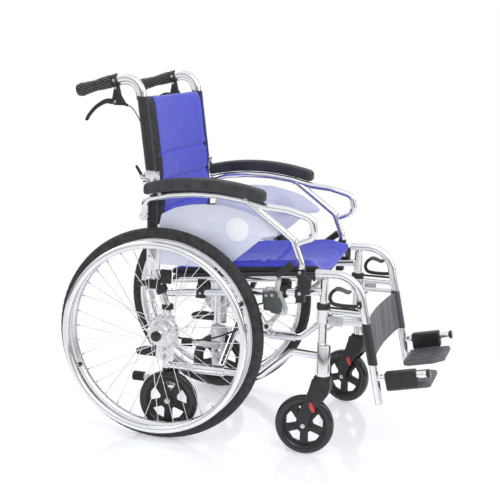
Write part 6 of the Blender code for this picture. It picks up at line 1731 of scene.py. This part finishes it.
def swollen(obj, cap, voxel=0.0055, pressure=4.0, give=(1.0, 1.0, 1.0)):
    """The shape as a stuffed cover: remeshed, blown up a little, and kept near where it began.

    give says how freely the cover may move along each axis: a sewn edge hardly moves at all.
    """
    remesh = obj.modifiers.new("remesh", "REMESH")
    remesh.mode = "VOXEL"
    remesh.voxel_size = voxel
    obj = settled(obj)
    begun = [v.co.copy() for v in obj.data.vertices]
    cloth = obj.modifiers.new("cloth", "CLOTH")
    cloth.settings.use_pressure = True
    cloth.settings.uniform_pressure_force = pressure
    cloth.settings.effector_weights.gravity = 0.0
    cloth.settings.quality = 4
    cloth.point_cache.frame_end = PUFF_FRAMES
    for number in range(1, PUFF_FRAMES + 1):
        bpy.context.scene.frame_set(number)
    obj = settled(obj)
    for vert, start in zip(obj.data.vertices, begun):
        step = Vector(move * ease for move, ease in zip(vert.co - start, give))
        vert.co = start + step * min(1.0, cap / max(step.length, cap))
    bpy.context.scene.frame_set(1)
    smooth = obj.modifiers.new("smooth", "SMOOTH")
    smooth.factor = 0.5
    smooth.iterations = 3
    finer = obj.modifiers.new("finer", "SUBSURF")
    finer.levels = 1
    return settled(obj)


def pressed(obj, depth_at):
    """Move each point against its normal by a rule's depth, as thread and wear do."""
    normals = [v.normal.copy() for v in obj.data.vertices]
    for vert, normal in zip(obj.data.vertices, normals):
        vert.co -= normal * depth_at(vert.co, normal)
    obj.data.update()
    return obj


def two_toned(obj, first, second, rule):
    """Give the second finish to the faces that a rule picks by their middle and normal."""
    obj.data.materials.clear()
    for finish in (first, second):
        obj.data.materials.append(finish.material)
    for face in obj.data.polygons:
        face.material_index = int(rule(face.center, face.normal))


def bell(distance, width):
    """A bell curve: one in its middle, and nearly gone two widths away."""
    return 2.718 ** (-(distance / width) ** 2)


def groove(distance, width, depth):
    """A rounded channel: full depth on the seam, with a soft roll on both sides."""
    return depth * (bell(distance, width) - 0.28 * bell(abs(distance) - 2.2 * width, width))


# %% Seat sling and cushion
SEAT_REAR, SEAT_FRONT = 0.0, -0.404
SEAT_HALF = 0.198
SEAT_SAG = 0.030
DISH_HALF = 0.182
SLING = 0.0014
SEAT_THICK = 0.030


def seat_dish(x):
    """How far the sling sags at a distance from the middle."""
    return SEAT_SAG * max(0.0, 1 - (x / DISH_HALF) ** 2)


def sling_place(u, v, face):
    """The sling's two faces: it wraps each rail's outer side and sags between them."""
    y = -0.016 + (-0.392 + 0.016) * v
    reach = 2 * u - 1
    out = 1 if reach > 0 else -1
    wrap = 0.12
    radius = SEAT_RAIL + GAP + (SLING if face else 0.0)
    axis_z = seat_rail_z(y)
    if abs(reach) > 1 - wrap:
        turn = (abs(reach) - (1 - wrap)) / wrap * radians(62)
        return Vector((out * (SEAT_RAIL_X + radius * sin(turn)), y, axis_z + radius * cos(turn)))
    x = reach / (1 - wrap) * SEAT_RAIL_X
    return Vector((x, y, axis_z + radius - seat_dish(x)))


sling = dress("seat_sling", "seat", black_nylon, closed_sheet(sling_place, 96, 40), angle=60)
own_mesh(sling)


def cushion_place(u, v, face):
    """The slack cushion, a little thinner than it ends, with the sling's sag."""
    share = sin((2 * u - 1) * pi / 2)
    x = share * (SEAT_HALF - 0.0005)
    y = SEAT_REAR - 0.001 + (SEAT_FRONT - SEAT_REAR + 0.002) * v
    level = seat_rail_z(y) + SEAT_RAIL + GAP + SLING + 0.0006 - seat_dish(x)
    if face == 0:
        return Vector((x, y, level + 0.0030 * share ** 8))
    crown = (SEAT_THICK - 0.0015) * (1 - 0.16 * share ** 8) * (1 - 0.30 * (2 * v - 1) ** 14)
    return Vector((x, y, level + crown))


def cushion_depth(place, normal):
    """Two sewn channels across the top, and slight puckers along them."""
    if normal.z < 0.2:
        return 0.0
    share = (place.y - SEAT_REAR) / (SEAT_FRONT - SEAT_REAR)
    fade = min(1.0, max(0.0, (SEAT_HALF - abs(place.x)) / 0.020))
    depth = sum(groove((share - seam) * 0.404, 0.0055, 0.0058) for seam in (0.30, 0.62))
    pucker = 0.0011 * noise.noise(Vector((place.x * 28, place.y * 16, 3.1)))
    return depth * fade + pucker


def cushion_rest(x, y):
    """The height of the sling's top, on which the cushion lies."""
    return seat_rail_z(y) + SEAT_RAIL + GAP + SLING + 0.0004 - seat_dish(x)


cushion = swollen(closed_sheet(cushion_place, 64, 60), 0.006, give=(0.4, 0.4, 1.0))
for vert in cushion.data.vertices:
    vert.co.z = max(vert.co.z, cushion_rest(vert.co.x, vert.co.y))
cushion = pressed(cushion, cushion_depth)
piece = dress("blue_seat_cushion", "seat", blue_mesh, cushion, stands_for=["seat_cushion"], angle=60)
two_toned(piece, blue_mesh, black_nylon, lambda place, normal: normal.z < -0.3 or (
    abs(place.x) > SEAT_HALF - 0.012 and place.z < cushion_rest(place.x, place.y - AXLE_Y) + 0.0150))
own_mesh(piece)


# %% Back panels, gussets and sleeves
BACK_HALF = 0.2068
BACK_THICK = 0.024
BACK_SAG = 0.010
BACK_OFFSET = 0.002


def cane_line(z):
    """Where the canes' axis lies at a height: the lower tube's lean, then the upper tube's."""
    low, high = ((0.0430, 0.520), (0.044, 0.662)) if z < HINGE[1] else (UPPER_FOOT, UPPER_CORNER)
    return low[0] + (high[0] - low[0]) * (z - low[1]) / (high[1] - low[1])


def back_place(foot, top):
    """A rule for one slack length of the back's padding."""
    def place(u, v, face):
        z = foot + (top - foot) * v
        near_joint = max(0.0, 1 - (abs(z - HINGE[1]) / 0.050) ** 6)
        half = BACK_HALF - 0.0022 * near_joint
        reach = 2 * u - 1
        rear = cane_line(z) + BACK_OFFSET + BACK_SAG * (1 - reach ** 2) - 0.0008
        if face == 0:
            return Vector((reach * half, rear, z))
        puff = (BACK_THICK - 0.005) * (1 - 0.22 * reach ** 10) * (1 - 0.30 * (2 * v - 1) ** 16)
        return Vector((reach * half, rear - puff, z))
    return place


def back_depth(seam):
    """A rule for the channel sewn across one length of the back, with loose weave beside it."""
    def depth(place, normal):
        if normal.y > -0.2:
            return 0.0
        fade = min(1.0, max(0.0, (BACK_HALF - abs(place.x)) / 0.012))
        pucker = 0.0009 * noise.noise(Vector((place.x * 22, place.z * 30, 7.7)))
        return fade * groove(place.z - seam, 0.0050, 0.0062) + pucker
    return depth


BLUE_HALF = 0.186


def on_gusset(place, normal):
    """True on the black cloth that closes the panel's sides and back."""
    return normal.y > 0.35 or abs(place.x) > BLUE_HALF


def edge_run(obj, side, foot, top, steps=44):
    """The line where blue meets black on one side, read from the pad's surface and evened out."""
    run = []
    for k in range(steps + 1):
        z = foot + 0.003 + (top - foot - 0.006) * k / steps
        near = [v.co for v in obj.data.vertices if abs(v.co.z - z) < 0.004
                and abs(side * v.co.x - BLUE_HALF) < 0.004]
        run.append(Vector((side * BLUE_HALF, min(place.y for place in near), z)))
    for smoothing in range(3):
        run = [run[0]] + [(a + b * 2 + c) / 4 for a, b, c in zip(run, run[1:], run[2:])] + [run[-1]]
    return run


# name, body, solid, foot, top, seam
BACK_PADS = (("upper_back_pad", "back_top_right", "back_upper", 0.6710, 0.900, 0.749),
             ("lower_back_pad", "right_frame", "back_lower", 0.560, 0.6800, 0.6050))
for name, body, node, foot, top, seam in BACK_PADS:
    pad = swollen(closed_sheet(back_place(foot, top), 60, 36), 0.005, give=(0.2, 1.0, 0.1))
    pad = pressed(pad, back_depth(seam))
    welts = [tube(edge_run(pad, side, foot, top), 0.0016, 12) for _, side in SIDES]
    piece = dress(name, body, blue_mesh, pad, stands_for=[node], angle=60)
    two_toned(piece, blue_mesh, black_nylon, on_gusset)
    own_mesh(piece)
    piping = dress(f"{name}_piping", body, blue_edge, *welts)
    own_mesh(piping)


def sleeve_place(side, foot, top, wide, deep):
    """A rule for a cloth sleeve round a cane: its inner and outer skin, with slack creases."""
    def place(u, v, face):
        z = foot + (top - foot) * v
        turn = 2 * pi * u
        crease = 0.0005 * noise.noise(Vector((3 * cos(turn), 3 * sin(turn), z * 34 + side)))
        seam = 0.0009 * bell(turn - 4.05, 0.10)
        skin = 0.0011 + crease + seam if face else 0.0
        return Vector((side * FRAME_X + (wide + skin) * cos(turn), cane_line(z) + (deep + skin) * sin(turn),
                       z))
    return place


def hollow_sleeve(place, around=64, rows=60):
    """A round sleeve with an inner and an outer skin and turned hems."""
    inner, outer = [[[place(c / around, r / rows, face) for c in range(around)] for r in range(rows + 1)]
                    for face in (0, 1)]
    return lofted(inner + outer[::-1], closed=True)


for label, side in SIDES:
    for name, body, carrier, foot, top in (
            ("upper_sleeve", f"back_top_{label}", f"{label}_upper_cane", 0.7080, 0.8990),
            ("lower_sleeve", f"{label}_frame", f"{label}_lower_cane", 0.5100, 0.6420)):
        shape = hollow_sleeve(sleeve_place(side, foot, top, 0.0114, 0.0132))
        piece = dress(f"{label}_{name}", body, black_nylon, shape, angle=60)

# %% Calf strap
STRAP_FOOT, STRAP_TOP = 0.253, 0.352
STRAP_HALF = 0.2085


def hanger_line(z):
    """Where the hangers' sloping tubes lie at a height."""
    (y_high, z_high), (y_low, z_low) = HANGER_ROUTE[1:]
    return y_high + (y_low - y_high) * (z - z_high) / (z_low - z_high)


def strap_place(u, v, face):
    """The strap hangs slack between the tubes, in a few upright folds."""
    reach = 2 * u - 1
    z = STRAP_FOOT + (STRAP_TOP - STRAP_FOOT) * v
    fade = min(1.0, (1 - abs(reach)) * 5)
    slack = 1 - 0.9 * (2 * v - 1) ** 4
    fold = slack * (0.0016 * sin(reach * 9.3 + 1.6 * v) + 0.0011 * sin(reach * 19.1 - 2.4 * v + 0.8))
    y = hanger_line(z) + 0.012 * (1 - reach ** 2) + fold * fade
    return Vector((reach * (STRAP_HALF - 0.0004), y + (0.0008 if face else -0.0008), z))


strap = dress("calf_strap_cloth", "leg_rest_right", strap_nylon, closed_sheet(strap_place, 160, 16),
              stands_for=["calf_strap"], angle=60)
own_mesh(strap)
for label, side in SIDES:
    def cuff(u, v, face, side=side):
        z = STRAP_FOOT - 0.003 + (STRAP_TOP - STRAP_FOOT + 0.006) * v
        turn = 2 * pi * u
        skin = (0.0011 + 0.0003 * noise.noise(Vector((2 * cos(turn), 2 * sin(turn),
                                                      z * 40)))) if face else 0.0
        wide = 0.0148 + skin
        return Vector((side * (FRAME_X - 0.0030) + wide * cos(turn),
                       hanger_line(z) + (0.0117 + skin) * sin(turn), z))
    cloth = black_nylon if label == "right" else strap_nylon
    piece = dress(f"{label}_strap_cuff", f"leg_rest_{label}", cloth, hollow_sleeve(cuff, 56, 20), angle=60)
